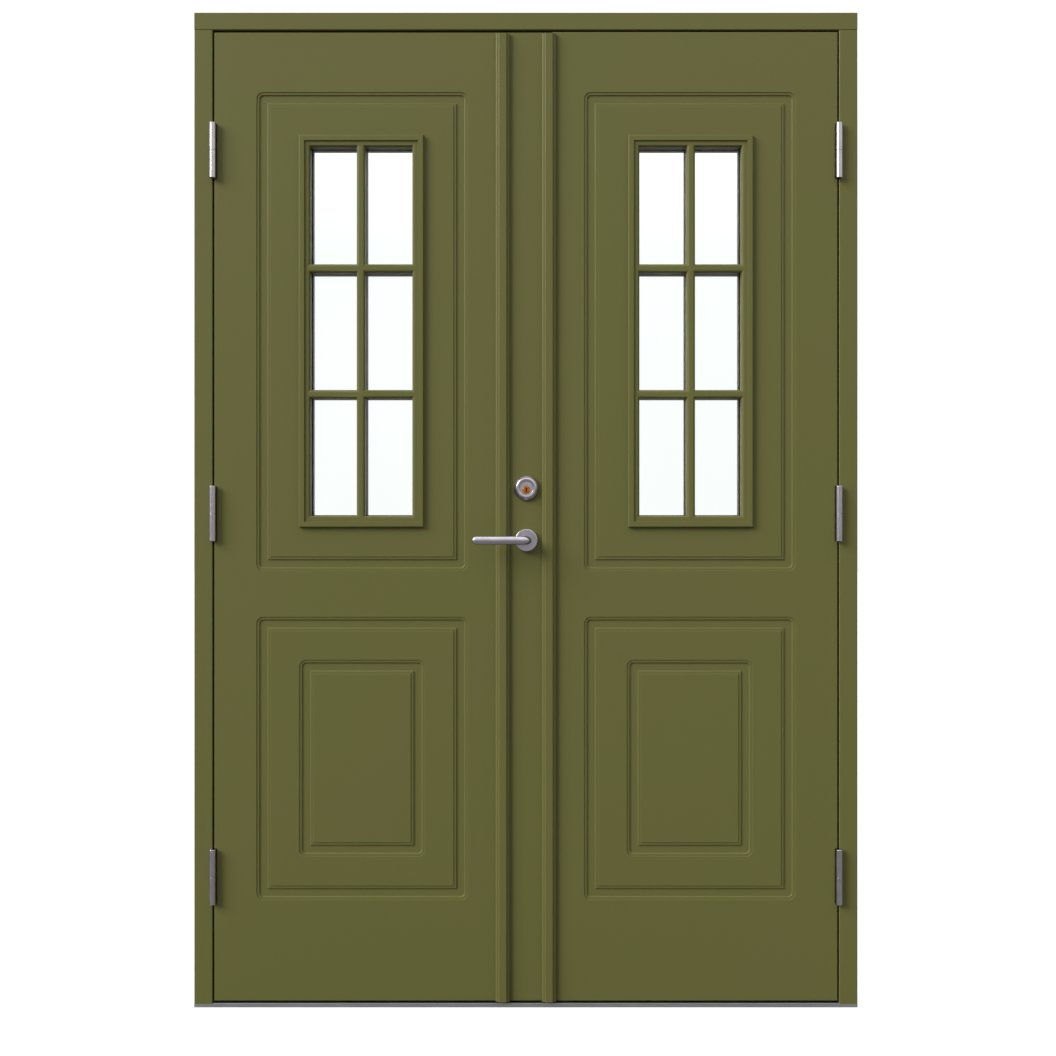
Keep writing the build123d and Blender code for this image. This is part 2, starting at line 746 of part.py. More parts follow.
with BuildPart() as meeting_stop:
    stop_left = stop_strip_x - stop_strip_width / 2
    stop_right = stop_strip_x + stop_strip_width / 2
    fixed_x = meeting_x("passive", leaf_thickness)
    with BuildSketch(plan(upstand_top + stop_strip_gap)):
        Polygon((fixed_x, leaf_thickness), (stop_right, leaf_thickness),
                (stop_right, leaf_thickness + stop_strip_thickness),
                (stop_left, leaf_thickness + stop_strip_thickness),
                (stop_left, leaf_thickness + meeting_relief), (fixed_x, leaf_thickness + meeting_relief), align=None)
    extrude(amount=head_stop_underside - upstand_top - 2 * stop_strip_gap)
    outer_edges = meeting_stop.edges().filter_by(Axis.Z).group_by(Axis.Y)[-1]
    chamfer(outer_edges, stop_strip_edge)
keep(meeting_stop, "meeting_stop")

# Lock case with ways for its bolts, the cylinder tail and the spindle
with BuildPart() as lock_case:
    with Locations((lock_case_x, front_y + lock_mid_depth, lock_case_z)):
        Box(*lock_case_size)
    round_cut(lock_x, plug_z, tail_r + tail_clearance, case_front, case_back)
    round_cut(lock_x, lever_z, follower_r, case_front, case_back)
    case_side = lock_case_x + lock_case_size[0] / 2
    for height, size in ((cylinder_z, dead_bolt_size), (lever_z, lever_bolt_size)):
        bolt_slot(height, size, bolt_tip_x - size[0] - 1, case_side + overrun, bolt_clearance)
keep(lock_case, "lock_case")

for name, height, size in (("dead_bolt", cylinder_z, dead_bolt_size), ("lever_bolt", lever_z, lever_bolt_size)):
    with BuildPart() as bolt:
        with Locations((bolt_tip_x - size[0] / 2, front_y + lock_mid_depth, height)):
            Box(*size)
        tip_edges = bolt.faces().sort_by(Axis.X)[-1].edges()
        chamfer(tip_edges, bolt_edge)
    keep(bolt, name)

for name, end in (("flush_bolt_top", 1), ("flush_bolt_bottom", -1)):
    with BuildPart() as flush_bolt:
        with BuildSketch(plan(flush_tip(end))):
            with Locations((flush_bolt_x, lock_mid_depth)):
                Circle(flush_bolt_r)
        extrude(amount=-end * flush_bolt_length)
        tip = flush_bolt.edges().filter_by(GeomType.CIRCLE).group_by(Axis.Z)[-1 if end > 0 else 0]
        chamfer(tip, flush_bolt_edge)
        finger_x = meeting_x("passive", lock_mid_depth) - finger_proud
        with Locations(((finger_x + flush_bolt_x) / 2, front_y + lock_mid_depth, flush_finger(end))):
            Box(flush_bolt_x - finger_x, finger_depth, finger_height)
    keep(flush_bolt, name)


def turned(x, height, *outline):
    """Sketch half a turned section on the level plane: x is the radius and y is the depth."""
    with BuildSketch(Plane(origin=(x, front_y, height))) as half_section:
        with BuildLine():
            Polyline(*outline, close=True)
        make_face()
    revolve(half_section.sketch, axis=Axis((x, front_y, height), (0, 1, 0)))


# Outside: cylinder ring, cylinder body and its key plug
with BuildPart() as cylinder_ring:
    turned(lock_x, cylinder_z, (ring_bore_r, 0), (ring_r, 0), (ring_r, -ring_edge), (ring_lip_r, -ring_proud),
           (ring_lip_r - ring_lip_width, -ring_proud), (ring_bore_r, -cylinder_proud))
keep(cylinder_ring, "cylinder_ring")

with BuildPart() as cylinder_body:
    turned(lock_x, cylinder_z, (0, case_front), (cylinder_r, case_front), (cylinder_r, -cylinder_proud),
           (0, -cylinder_proud))
    round_cut(lock_x, plug_z, plug_r + plug_clearance, -cylinder_proud, case_front)
keep(cylinder_body, "cylinder_body")

with BuildPart() as key_plug:
    turned(lock_x, plug_z, (0, plug_end), (plug_r, plug_end), (plug_r, -plug_proud), (0, -plug_proud))
    tail_end = lock_mid_depth - 1
    turned(lock_x, plug_z, (0, tail_end), (tail_r, tail_end), (tail_r, plug_end), (0, plug_end))
    with BuildSketch(at_depth(-plug_proud)):
        with Locations((lock_x, plug_z)):
            Rectangle(*keyway_size)
    extrude(amount=-keyway_depth, mode=Mode.SUBTRACT)
keep(key_plug, "key_plug")

# Inside: the thumb turn on its rose
with BuildPart() as thumb_turn_rose:
    rose_face = leaf_thickness + thumb_rose_thickness
    turned(lock_x, cylinder_z, (0, leaf_thickness), (ring_r, leaf_thickness), (ring_r, rose_face - rose_bevel),
           (ring_r - rose_bevel, rose_face), (0, rose_face))
    round_cut(lock_x, plug_z, tail_r + neck_clearance, leaf_thickness, rose_face)
keep(thumb_turn_rose, "thumb_turn_rose")

with BuildPart() as thumb_turn:
    grip_foot = rose_face + neck_clearance
    turned(lock_x, plug_z, (0, lock_mid_depth), (tail_r, lock_mid_depth), (tail_r, grip_foot), (0, grip_foot))
    with BuildSketch(at_depth(grip_foot)):
        with Locations((lock_x, plug_z)):
            SlotOverall(*thumb_grip_size, rotation=90)
    extrude(amount=-thumb_grip_proud)
keep(thumb_turn, "thumb_turn")

# Lever handles on both faces, on one square spindle
with BuildPart() as lever_rose_outer:
    turned(lock_x, lever_z, (neck_r + neck_clearance, 0), (rose_r, 0), (rose_r, rose_bevel - rose_thickness),
           (rose_r - rose_bevel, -rose_thickness), (neck_r + neck_clearance, -rose_thickness))
keep(lever_rose_outer, "lever_rose_outer")
with BuildPart() as lever_rose_inner:
    mirror(lever_rose_outer.part, about=at_depth(leaf_thickness / 2))
keep(lever_rose_inner, "lever_rose_inner")

with BuildPart() as lever_outer:
    bend_depth = lever_bend_r - lever_bar_offset
    bar_tip_r = lever_bar_height / 2
    with BuildSketch(at_depth(-neck_gap)):
        with Locations((lock_x, lever_z)):
            Circle(neck_r)
    extrude(amount=-neck_gap - bend_depth)
    with BuildSketch(at_depth(bend_depth)):
        with Locations((lock_x, lever_z)):
            bar_outline = Rectangle(lever_bar_depth, lever_bar_height)
            chamfer(bar_outline.vertices(), lever_edge)
    bend_axis = Axis((lock_x - lever_bend_r, front_y + bend_depth, lever_z), (0, 0, -1))
    revolve(axis=bend_axis, revolution_arc=90)
    extrude(lever_outer.faces().sort_by(Axis.X)[0], amount=lever_length - lever_bend_r)
    with BuildSketch(at_depth(0)):
        with Locations((lock_x - lever_length + bar_tip_r, lever_z)):
            Circle(bar_tip_r)
            Rectangle(lever_length + neck_r, lever_bar_height, align=(Align.MIN, Align.CENTER))
    extrude(amount=lever_bar_offset + lever_bar_depth, mode=Mode.INTERSECT)
    with BuildSketch(at_depth(-neck_gap)):
        with Locations((lock_x, lever_z)):
            Rectangle(spindle_side, spindle_side)
    extrude(amount=spindle_reach - neck_gap, mode=Mode.SUBTRACT)
keep(lever_outer, "lever_outer")
with BuildPart() as lever_inner:
    mirror(lever_outer.part, about=at_depth(leaf_thickness / 2))
keep(lever_inner, "lever_inner")

with BuildPart() as lever_spindle:
    with Locations((lock_x, front_y + leaf_thickness / 2, lever_z)):
        Box(spindle_side, leaf_thickness + 2 * spindle_reach, spindle_side)
keep(lever_spindle, "lever_spindle")
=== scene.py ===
"""A pair of panelled, glazed double doors in their frame, dressed for display.

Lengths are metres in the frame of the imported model: +Z is up, -Y is outdoors, and the
origin is the centre of the sill's underside. A leaf's outer face stands at FACE_Y, and
depths are counted from there into the building.
"""

from __future__ import annotations

import json
import logging
import math
from dataclasses import dataclass, field
from enum import Enum
from typing import Iterable, Sequence

import bmesh
import bpy
from bmesh.types import BMEdge, BMFace, BMVert
from mathutils import Matrix, Vector

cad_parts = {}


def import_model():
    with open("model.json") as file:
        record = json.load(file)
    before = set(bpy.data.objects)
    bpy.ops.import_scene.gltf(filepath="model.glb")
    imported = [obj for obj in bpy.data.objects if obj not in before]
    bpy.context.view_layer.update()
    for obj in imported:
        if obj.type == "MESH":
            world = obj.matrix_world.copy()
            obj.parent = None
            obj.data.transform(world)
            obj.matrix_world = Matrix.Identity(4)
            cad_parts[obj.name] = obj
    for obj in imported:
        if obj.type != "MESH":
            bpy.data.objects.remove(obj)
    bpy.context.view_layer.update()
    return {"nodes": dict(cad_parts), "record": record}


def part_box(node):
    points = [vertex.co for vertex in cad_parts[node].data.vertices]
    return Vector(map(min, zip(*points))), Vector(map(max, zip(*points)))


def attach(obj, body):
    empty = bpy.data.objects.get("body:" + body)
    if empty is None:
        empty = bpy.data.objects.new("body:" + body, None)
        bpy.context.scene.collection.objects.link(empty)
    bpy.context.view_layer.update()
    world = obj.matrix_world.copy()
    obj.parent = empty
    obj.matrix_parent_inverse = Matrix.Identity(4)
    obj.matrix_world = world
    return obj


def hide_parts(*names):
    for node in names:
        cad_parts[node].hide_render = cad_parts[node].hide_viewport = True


LOG = logging.getLogger("doors")
MM = 0.001
TOUCH = 1e-6
POLE = 1e-7
FINE_TURN = 96
TURN = 72
COARSE_TURN = 48
FACE_Y = -52.5 * MM
LEAF_THICKNESS = 62.0 * MM
MEETING_LEAN = math.radians(3.5)
HINGE_HEIGHTS = {"bottom": 274.6 * MM, "middle": 1034.5 * MM, "top": 1794.0 * MM}

Color = tuple[float, float, float]
Point = tuple[float, float]
Step = tuple[float, float]
Span = tuple[float, float]
Socket = bpy.types.NodeSocket


def display(red: int, green: int, blue: int) -> Color:
    """Turn a display colour of 0 to 255 a channel into linear light."""
    return tuple(
        part / 12.92 if part <= 0.04045 else ((part + 0.055) / 1.055) ** 2.4
        for part in (red / 255, green / 255, blue / 255)
    )


def opaque(color: Color) -> tuple[float, float, float, float]:
    """Add a full alpha to a colour."""
    return (*color, 1.0)


WHITE = display(255, 255, 255)
# Lighter tone for settled dust and a painted highlight on faces that look up.
DUST_AND_SHEEN_TONE = display(150, 146, 128)


class LeafSide(Enum):
    """The two leaves, by the sign of the side that they hang on."""

    ACTIVE = -1
    PASSIVE = 1

    @property
    def word(self) -> str:
        """Name of the leaf, as its nodes begin."""
        return self.name.lower()

    @property
    def body(self) -> str:
        """Name of the body that the leaf is."""
        return f"{self.word}_leaf"


class LeafFace(Enum):
    """The two faces of a leaf."""

    OUTER = "outer"
    INNER = "inner"


class Slot(Enum):
    """The record's material slots."""

    PAINT = "olive_paint"
    CORE = "core_foam"
    SEAL = "seal_rubber"
    GLASS = "window_glass"
    SPACER = "spacer_bar"
    SILL_METAL = "sill_aluminium"
    SILL_TIMBER = "sill_hardwood"
    STEEL = "satin_steel"
    BRASS = "plug_brass"


class NodeSheet:
    """A node tree with short calls to add and join nodes."""

    color_a, color_b, color_out = 6, 7, 2

    def __init__(self, tree: bpy.types.NodeTree) -> None:
        """Start on an empty tree."""
        self.tree = tree
        tree.nodes.clear()

    def add(self, kind: str, inputs: dict | None = None, **settings: object) -> bpy.types.Node:
        """Add a node.

        Args:
            kind: The node's type name, without its ShaderNode prefix.
            inputs: Values or sockets for its inputs, by name or index.
            **settings: Properties to set on the node.

        Returns:
            The new node.
        """
        node = self.tree.nodes.new(kind if kind.startswith("Node") else f"ShaderNode{kind}")
        for key, value in settings.items():
            setattr(node, key, value)
        self.feed(node, inputs or {})
        return node

    def feed(self, node: bpy.types.Node, inputs: dict) -> None:
        """Set a node's inputs, or join them where a socket is given."""
        for key, value in inputs.items():
            if isinstance(value, Socket):
                self.tree.links.new(value, node.inputs[key])
            else:
                node.inputs[key].default_value = value

    def math(self, operation: str, *values: object) -> Socket:
        """Add a math node and return its result."""
        return self.add("Math", dict(enumerate(values)), operation=operation).outputs[0]

    def noise(self, place: Socket, scale: object, detail: float) -> Socket:
        """Add a noise and return its level, from 0 to 1."""
        return self.add("TexNoise", {"Vector": place, "Scale": scale, "Detail": detail}).outputs["Fac"]

    def ramp(self, value: Socket, reach: Span, levels: Span = (0.0, 1.0)) -> Socket:
        """Map a value's reach to a pair of levels, and return the result."""
        inputs = {"From Min": reach[0], "From Max": reach[1], "To Min": levels[0], "To Max": levels[1]}
        return self.add("MapRange", {"Value": value, **inputs}).outputs["Result"]

    def blend(self, share: Socket, first: object, second: object) -> Socket:
        """Mix two colours and return the mixture."""
        inputs = {"Factor": share, self.color_a: first, self.color_b: second}
        return self.add("Mix", inputs, data_type="RGBA").outputs[self.color_out]

    def swing(self, level: Socket, middle: Socket, spread: Socket) -> Socket:
        """Swing a middle value by a level from 0 to 1, and return the result."""
        change = self.math("MULTIPLY", self.math("SUBTRACT", level, 0.5), spread)
        return self.math("ADD", middle, change)


class Pattern(Enum):
    """The shared patterns, each one node group."""

    DRIFT = "tone_drift"
    TOOTH = "surface_tooth"
    BRUSH = "brushed_lines"
    # Settled dust and a painted highlight: a lighter tone laid on faces that look up.
    DUST = "settled_dust"


class PatternBook:
    """Builds each shared pattern once and places it in materials."""

    def __init__(self) -> None:
        """Start with no patterns drawn."""
        self.drawn: dict[Pattern, bpy.types.NodeTree] = {}

    def place(self, sheet: NodeSheet, pattern: Pattern, inputs: dict) -> bpy.types.Node:
        """Place a pattern in a material.

        Args:
            sheet: The material's nodes.
            pattern: Which pattern.
            inputs: Its own values for the pattern's inputs.

        Returns:
            The group node.
        """
        if pattern not in self.drawn:
            draw = {Pattern.DRIFT: self.draw_drift, Pattern.TOOTH: self.draw_tooth,
                    Pattern.BRUSH: self.draw_brush, Pattern.DUST: self.draw_dust}[pattern]
            self.drawn[pattern] = draw(pattern.value)
        return sheet.add("Group", inputs, node_tree=self.drawn[pattern])

    @staticmethod
    def open(name: str, inputs: dict[str, str],
             outputs: dict[str, str]) -> tuple[NodeSheet, dict[str, Socket], bpy.types.Node]:
        """Open a new group.

        Args:
            name: The group's name.
            inputs: Kind of socket for each input, by its label.
            outputs: The same for each output.

        Returns:
            The group's nodes, its inputs by label, and the node that takes its outputs.
        """
        tree = bpy.data.node_groups.new(name, "ShaderNodeTree")
        for in_out, labels in (("INPUT", inputs), ("OUTPUT", outputs)):
            for label, kind in labels.items():
                tree.interface.new_socket(name=label, in_out=in_out, socket_type=f"NodeSocket{kind}")
        sheet = NodeSheet(tree)
        start = sheet.add("NodeGroupInput")
        return sheet, {label: start.outputs[label] for label in inputs}, sheet.add("NodeGroupOutput")

    def draw_drift(self, name: str) -> bpy.types.NodeTree:
        """Draw two close tones that change slowly over the surface."""
        inputs = {"Vector": "Vector", "Scale": "Float", "Tone": "Color", "Other Tone": "Color"}
        sheet, given, end = self.open(name, inputs, {"Color": "Color"})
        band = sheet.ramp(sheet.noise(given["Vector"], given["Scale"], 3.0), (0.35, 0.65))
        sheet.feed(end, {"Color": sheet.blend(band, given["Tone"], given["Other Tone"])})
        return sheet.tree

    def draw_tooth(self, name: str) -> bpy.types.NodeTree:
        """Draw a fine unevenness, as a height and as a roughness about a middle value."""
        inputs = {"Vector": "Vector", "Scale": "Float", "Roughness": "Float", "Spread": "Float"}
        sheet, given, end = self.open(name, inputs, {"Height": "Float", "Roughness": "Float"})
        wide_share = 0.04
        fine = sheet.noise(given["Vector"], given["Scale"], 2.0)
        wide = sheet.noise(given["Vector"], sheet.math("MULTIPLY", given["Scale"], wide_share), 4.0)
        level = sheet.swing(wide, given["Roughness"], given["Spread"])
        sheet.feed(end, {"Height": fine, "Roughness": level})
        return sheet.tree

    def draw_brush(self, name: str) -> bpy.types.NodeTree:
        """Draw out a noise along a direction, for brushed metal and for timber."""
        inputs = {"Vector": "Vector", "Stretch": "Vector", "Roughness": "Float", "Spread": "Float"}
        sheet, given, end = self.open(name, inputs, {"Mask": "Float", "Roughness": "Float"})
        drawn = sheet.add("VectorMath", {0: given["Vector"], 1: given["Stretch"]}, operation="MULTIPLY")
        lines = sheet.noise(drawn.outputs[0], 1.0, 5.0)
        level = sheet.swing(lines, given["Roughness"], given["Spread"])
        sheet.feed(end, {"Mask": lines, "Roughness": level})
        return sheet.tree

    def draw_dust(self, name: str) -> bpy.types.NodeTree:
        """Draw a thin, patchy, lighter tone over a colour on faces that look up: settled dust, and a
        painted highlight where light falls from above.
        """
        inputs = {"Vector": "Vector", "Color": "Color", "Dust": "Color", "Amount": "Float"}
        sheet, given, end = self.open(name, inputs, {"Color": "Color"})
        # Painted highlight and dust: the more a face looks up, the more of the lighter tone it gets.
        facing = sheet.add("SeparateXYZ", {0: sheet.add("NewGeometry").outputs["True Normal"]})
        upward = sheet.ramp(facing.outputs["Z"], (0.55, 1.0))
        patchy = sheet.math("MULTIPLY", upward, sheet.noise(given["Vector"], 60.0, 5.0))
        mask = sheet.math("MULTIPLY", patchy, given["Amount"])
        sheet.feed(end, {"Color": sheet.blend(mask, given["Color"], given["Dust"])})
        return sheet.tree


@dataclass(frozen=True)
class Finish:
    """A surface finish: its colours, its sheen and its fine relief.

    Attributes:
        name: The material's name.
        slot: The record's slot that it stands for.
        tone: Main colour.
        other_tone: Colour that the main one drifts towards.
        drift_scale: How many drifts there are in a metre.
        roughness: Middle roughness.
        spread: How far the roughness swings.
        tooth_scale: How many grains of relief there are in a metre.
        relief: Height of the relief, in metres.
        dust: How much lighter tone lies on upward faces, as settled dust and as a painted highlight.
        metallic: Whether it is bare metal.
        gleam: Strength of its reflections where it isn't metal.
    """

    name: str
    slot: Slot
    tone: Color
    other_tone: Color
    drift_scale: float = 2.0
    roughness: float = 0.45
    spread: float = 0.1
    tooth_scale: float = 500.0
    relief: float = 0.00001
    dust: float = 0.0
    metallic: float = 0.0
    gleam: float = 0.5

    def make(self, book: PatternBook) -> bpy.types.Material:
        """Build the material.

        Args:
            book: The shared patterns.

        Returns:
            The finished material.
        """
        material = bpy.data.materials.new(self.name)
        material.use_nodes = True
        sheet = NodeSheet(material.node_tree)
        color, roughness, height = self.look(sheet, book, sheet.add("TexCoord").outputs["Object"])
        bump = sheet.add("Bump", {"Height": height, "Strength": 1.0, "Distance": self.relief})
        varied = {"Base Color": color, "Roughness": roughness, "Normal": bump.outputs["Normal"]}
        shader = sheet.add("BsdfPrincipled", {**self.plain(), **varied})
        sheet.add("OutputMaterial", {"Surface": shader.outputs[0]})
        return material

    def plain(self) -> dict[str, float]:
        """Values that are the same all over the surface."""
        return {"Metallic": self.metallic, "Specular IOR Level": self.gleam}

    def look(self, sheet: NodeSheet, book: PatternBook, place: Socket) -> tuple[Socket, Socket, Socket]:
        """Lay out what changes over the surface.

        Args:
            sheet: The material's nodes.
            book: The shared patterns.
            place: Where on the piece a point is.

        Returns:
            Its colour, its roughness and its height.
        """
        drift = book.place(sheet, Pattern.DRIFT, {
            "Vector": place, "Scale": self.drift_scale,
            "Tone": opaque(self.tone), "Other Tone": opaque(self.other_tone),
        })
        color = drift.outputs["Color"]
        # Settled dust and a painted highlight: a lighter tone on faces that look up.
        if self.dust:
            dust_and_sheen_inputs = {"Vector": place, "Color": color, "Dust": opaque(DUST_AND_SHEEN_TONE), "Amount": self.dust}
            color = book.place(sheet, Pattern.DUST, dust_and_sheen_inputs).outputs["Color"]
        tooth = book.place(sheet, Pattern.TOOTH, {
            "Vector": place, "Scale": self.tooth_scale, "Roughness": self.roughness, "Spread": self.spread,
        })
        return color, tooth.outputs["Roughness"], tooth.outputs["Height"]


@dataclass(frozen=True)
class DrawnFinish(Finish):
    """A finish whose grain runs along a direction, as brushed metal and timber have.

    Attributes:
        stretch: Grains in a metre along X, Y and Z.
    """

    stretch: Color = (40.0, 900.0, 900.0)

    def look(self, sheet: NodeSheet, book: PatternBook, place: Socket) -> tuple[Socket, Socket, Socket]:
        """Let the grain drive the colour, the roughness and the height."""
        grain = book.place(sheet, Pattern.BRUSH, {
            "Vector": place, "Stretch": self.stretch, "Roughness": self.roughness, "Spread": self.spread,
        })
        mask = grain.outputs["Mask"]
        color = sheet.blend(mask, opaque(self.tone), opaque(self.other_tone))
        return color, grain.outputs["Roughness"], mask


@dataclass(frozen=True)
class GlassFinish(Finish):
    """Clear float glass with a trace of unevenness.

    Attributes:
        ior: Index of refraction.
    """

    ior: float = 1.45

    def plain(self) -> dict[str, float]:
        """Values that are the same all over the glass."""
        return {**super().plain(), "Transmission Weight": 1.0, "IOR": self.ior}


FINISHES: tuple[Finish, ...] = (
    # The paint and the rubber get a lighter tone on upward faces, as settled dust and as a painted
    # highlight.
    Finish("olive paint", Slot.PAINT, display(93, 93, 49), display(93, 92, 50), drift_scale=3.0,
           roughness=0.44, spread=0.08, tooth_scale=450.0, relief=0.000012, dust=0.05, gleam=0.2),
    Finish("insulating core", Slot.CORE, display(214, 205, 178), display(196, 188, 160), drift_scale=90.0,
           roughness=0.9, tooth_scale=900.0, relief=0.0002),
    Finish("seal rubber", Slot.SEAL, display(24, 24, 25), display(33, 33, 33), drift_scale=20.0,
           roughness=0.62, spread=0.15, tooth_scale=1400.0, relief=0.00003, dust=0.2),
    GlassFinish("window glass", Slot.GLASS, display(254, 255, 255), display(252, 255, 254), drift_scale=1.0,
                roughness=0.0, spread=0.0, tooth_scale=3.0, relief=0.00004, ior=1.3),
    Finish("spacer bar", Slot.SPACER, display(88, 92, 90), display(96, 100, 98), drift_scale=30.0,
           roughness=0.7, tooth_scale=1500.0, relief=0.00002, gleam=0.2),
    DrawnFinish("sill aluminium", Slot.SILL_METAL, display(150, 152, 152), display(172, 174, 174),
                roughness=0.42, spread=0.25, relief=0.00002, metallic=1.0, stretch=(30.0, 1500.0, 1500.0)),
    DrawnFinish("sill hardwood", Slot.SILL_TIMBER, display(96, 66, 42), display(140, 100, 66),
                roughness=0.6, spread=0.2, relief=0.0001, stretch=(6.0, 160.0, 160.0)),
    Finish("satin steel", Slot.STEEL, display(163, 157, 165), display(172, 167, 175), drift_scale=60.0,
           roughness=0.23, spread=0.1, tooth_scale=1800.0, relief=0.0000006, metallic=1.0),
    Finish("plug brass", Slot.BRASS, display(192, 116, 28), display(168, 94, 18), drift_scale=300.0,
           roughness=0.3, spread=0.12, tooth_scale=2400.0, relief=0.000001, metallic=1.0),
)


class Shelf:
    """Holds one material for each finish, and hands it out by slot."""

    def __init__(self) -> None:
        """Build every finish's material."""
        book = PatternBook()
        self.materials = {finish.slot: finish.make(book) for finish in FINISHES}

    def dress(self, piece: bpy.types.Object, slot: Slot) -> None:
        """Give a piece the finish of a slot, in place of what it had."""
        piece.data.materials.clear()
        piece.data.materials.append(self.materials[slot])


def ends(edges: Iterable[BMEdge]) -> list[BMVert]:
    """The vertices of some edges, each once."""
    return list({vert for edge in edges for vert in edge.verts})


class Bench:
    """One piece in the making: a bmesh and the moves that shape it."""

    def __init__(self) -> None:
        """Start with an empty mesh."""
        self.bm = bmesh.new()

    def ring(self, corners: Iterable[Sequence[float]]) -> list[BMEdge]:
        """Lay a closed loop of edges through a few corners."""
        verts = [self.bm.verts.new(corner) for corner in corners]
        return [self.bm.edges.new((a, b)) for a, b in zip(verts, verts[1:] + verts[:1])]

    def plate(self, corners: Iterable[Sequence[float]]) -> BMFace:
        """Lay one face through a few corners."""
        return self.bm.faces.new([self.bm.verts.new(corner) for corner in corners])

    def box(self, low: Sequence[float], high: Sequence[float]) -> list[BMVert]:
        """Stand a box between two corners and return its vertices."""
        middle = (Vector(low) + Vector(high)) / 2
        size = Vector(high) - Vector(low)
        matrix = Matrix.Translation(middle) @ Matrix.Diagonal((*size, 1.0))
        return bmesh.ops.create_cube(self.bm, size=1.0, matrix=matrix)["verts"]

    def rounded_ring(self, corners: Iterable[Sequence[float]], radius: float,
                     segments: int) -> list[BMEdge]:
        """Lay a closed loop whose corners are rounded."""
        before = set(self.bm.edges)
        self.round_corners(self.plate(corners).verts, radius, segments)
        edges = [edge for edge in self.bm.edges if edge not in before]
        bmesh.ops.delete(self.bm, geom=list(edges[0].link_faces), context="FACES_ONLY")
        return edges

    def circle(self, centre: Sequence[float], radius: float,
               segments: int = COARSE_TURN) -> list[BMEdge]:
        """Lay a circle that faces -Y and return its edges."""
        matrix = Matrix.Translation(centre) @ Matrix.Rotation(math.radians(90), 4, "X")
        made = bmesh.ops.create_circle(self.bm, cap_ends=False, radius=radius, segments=segments,
                                       matrix=matrix)
        return list({edge for vert in made["verts"] for edge in vert.link_edges})

    def round_corners(self, verts: Iterable[BMVert], radius: float, segments: int = 6) -> None:
        """Round the corners of a flat face, each in its plane."""
        self.bevel(verts, radius, segments, "VERTICES")

    def round_edges(self, edges: Iterable[BMEdge], radius: float, segments: int = 3) -> None:
        """Round edges of a solid."""
        self.bevel(edges, radius, segments, "EDGES")

    def bevel(self, geometry: Iterable[BMVert | BMEdge], radius: float, segments: int, affect: str) -> None:
        """Bevel vertices or edges with a round profile."""
        bmesh.ops.bevel(self.bm, geom=list(geometry), offset=radius, offset_type="OFFSET",
                        segments=segments, profile=0.5, affect=affect,
                        clamp_overlap=affect == "EDGES", material=-1)

    def step_in(self, face: BMFace, steps: Iterable[Step]) -> BMFace:
        """Inset a face by steps of width and rise, and return it as it is at the end."""
        for width, rise in steps:
            bmesh.ops.inset_region(self.bm, faces=[face], use_boundary=True, use_even_offset=True,
                                   thickness=width, depth=rise)
        return face

    def drop(self, face: BMFace) -> list[BMEdge]:
        """Take a face out and return the edges that were round it."""
        edges = list(face.edges)
        bmesh.ops.delete(self.bm, geom=[face], context="FACES_ONLY")
        return edges

    def draw_out(self, edges: Iterable[BMEdge], move: Sequence[float]) -> list[BMEdge]:
        """Extrude a loop of edges by a move and return the new loop."""
        made = bmesh.ops.extrude_edge_only(self.bm, edges=list(edges))["geom"]
        verts = {item for item in made if isinstance(item, BMVert)}
        bmesh.ops.translate(self.bm, vec=move, verts=list(verts))
        return [item for item in made if isinstance(item, BMEdge) and set(item.verts) <= verts]

    def thicken(self, face: BMFace, move: Sequence[float]) -> None:
        """Extrude a flat face into a solid."""
        made = bmesh.ops.extrude_face_region(self.bm, geom=[face], use_keep_orig=True)["geom"]
        bmesh.ops.translate(self.bm, vec=move, verts=[item for item in made if isinstance(item, BMVert)])

    def tuck_corners(self, loop: Iterable[BMEdge], centre: Vector, reach: Vector, share: float) -> None:
        """Draw the corners of a rounded loop in towards their arcs' centres.

        Args:
            loop: The loop's edges.
            centre: Middle of the loop.
            reach: From the middle to an arc's centre.
            share: What is left of each arc's radius.
        """
        arms = [(vert, vert.co - centre) for vert in ends(loop)]
        for side, level in ((-1, -1), (1, -1), (1, 1), (-1, 1)):
            arc = centre + Vector((side * reach.x, 0, level * reach.z))
            corner = [vert for vert, arm in arms if arm.x * side > 0 and arm.z * level > 0]
            bmesh.ops.scale(self.bm, vec=(share, 1, share), space=Matrix.Translation(-arc), verts=corner)

    def close_corners(self, loop: Iterable[BMEdge]) -> list[BMEdge]:
        """Join the points of each corner that has shrunk to nothing, and return the loop."""
        verts = ends(loop)
        bmesh.ops.remove_doubles(self.bm, verts=verts, dist=MM / 100)
        left = {vert for vert in verts if vert.is_valid}
        return [edge for edge in self.bm.edges if set(edge.verts) <= left and len(edge.link_faces) == 1]

    def step_loop(self, loop: Iterable[BMEdge], centre: Vector, reach: float, depth: float) -> list[BMEdge]:
        """Extrude a rectangular loop outward and backward, and return the new loop.

        Args:
            loop: The loop's edges.
            centre: Middle of the loop.
            reach: How far each side moves outward.
            depth: How far it moves into the leaf.

        Returns:
            The new loop's edges.
        """
        fresh = self.draw_out(loop, (0, depth, 0))
        for vert in ends(fresh):
            away = vert.co - centre
            move = (reach * math.copysign(1, away.x), 0, reach * math.copysign(1, away.z))
            bmesh.ops.translate(self.bm, vec=move, verts=[vert])
        return fresh

    def swell(self, loop: Iterable[BMEdge], centre: Vector, share: float, along: int = 1) -> None:
        """Scale a loop about a centre line.

        Args:
            loop: The loop's edges.
            centre: A point on the line.
            share: Its new size as a share of the old.
            along: The axis that the line runs along, 0 for X and 1 for Y.
        """
        vec = tuple(1.0 if axis == along else share for axis in range(3))
        bmesh.ops.scale(self.bm, vec=vec, space=Matrix.Translation(-centre), verts=ends(loop))

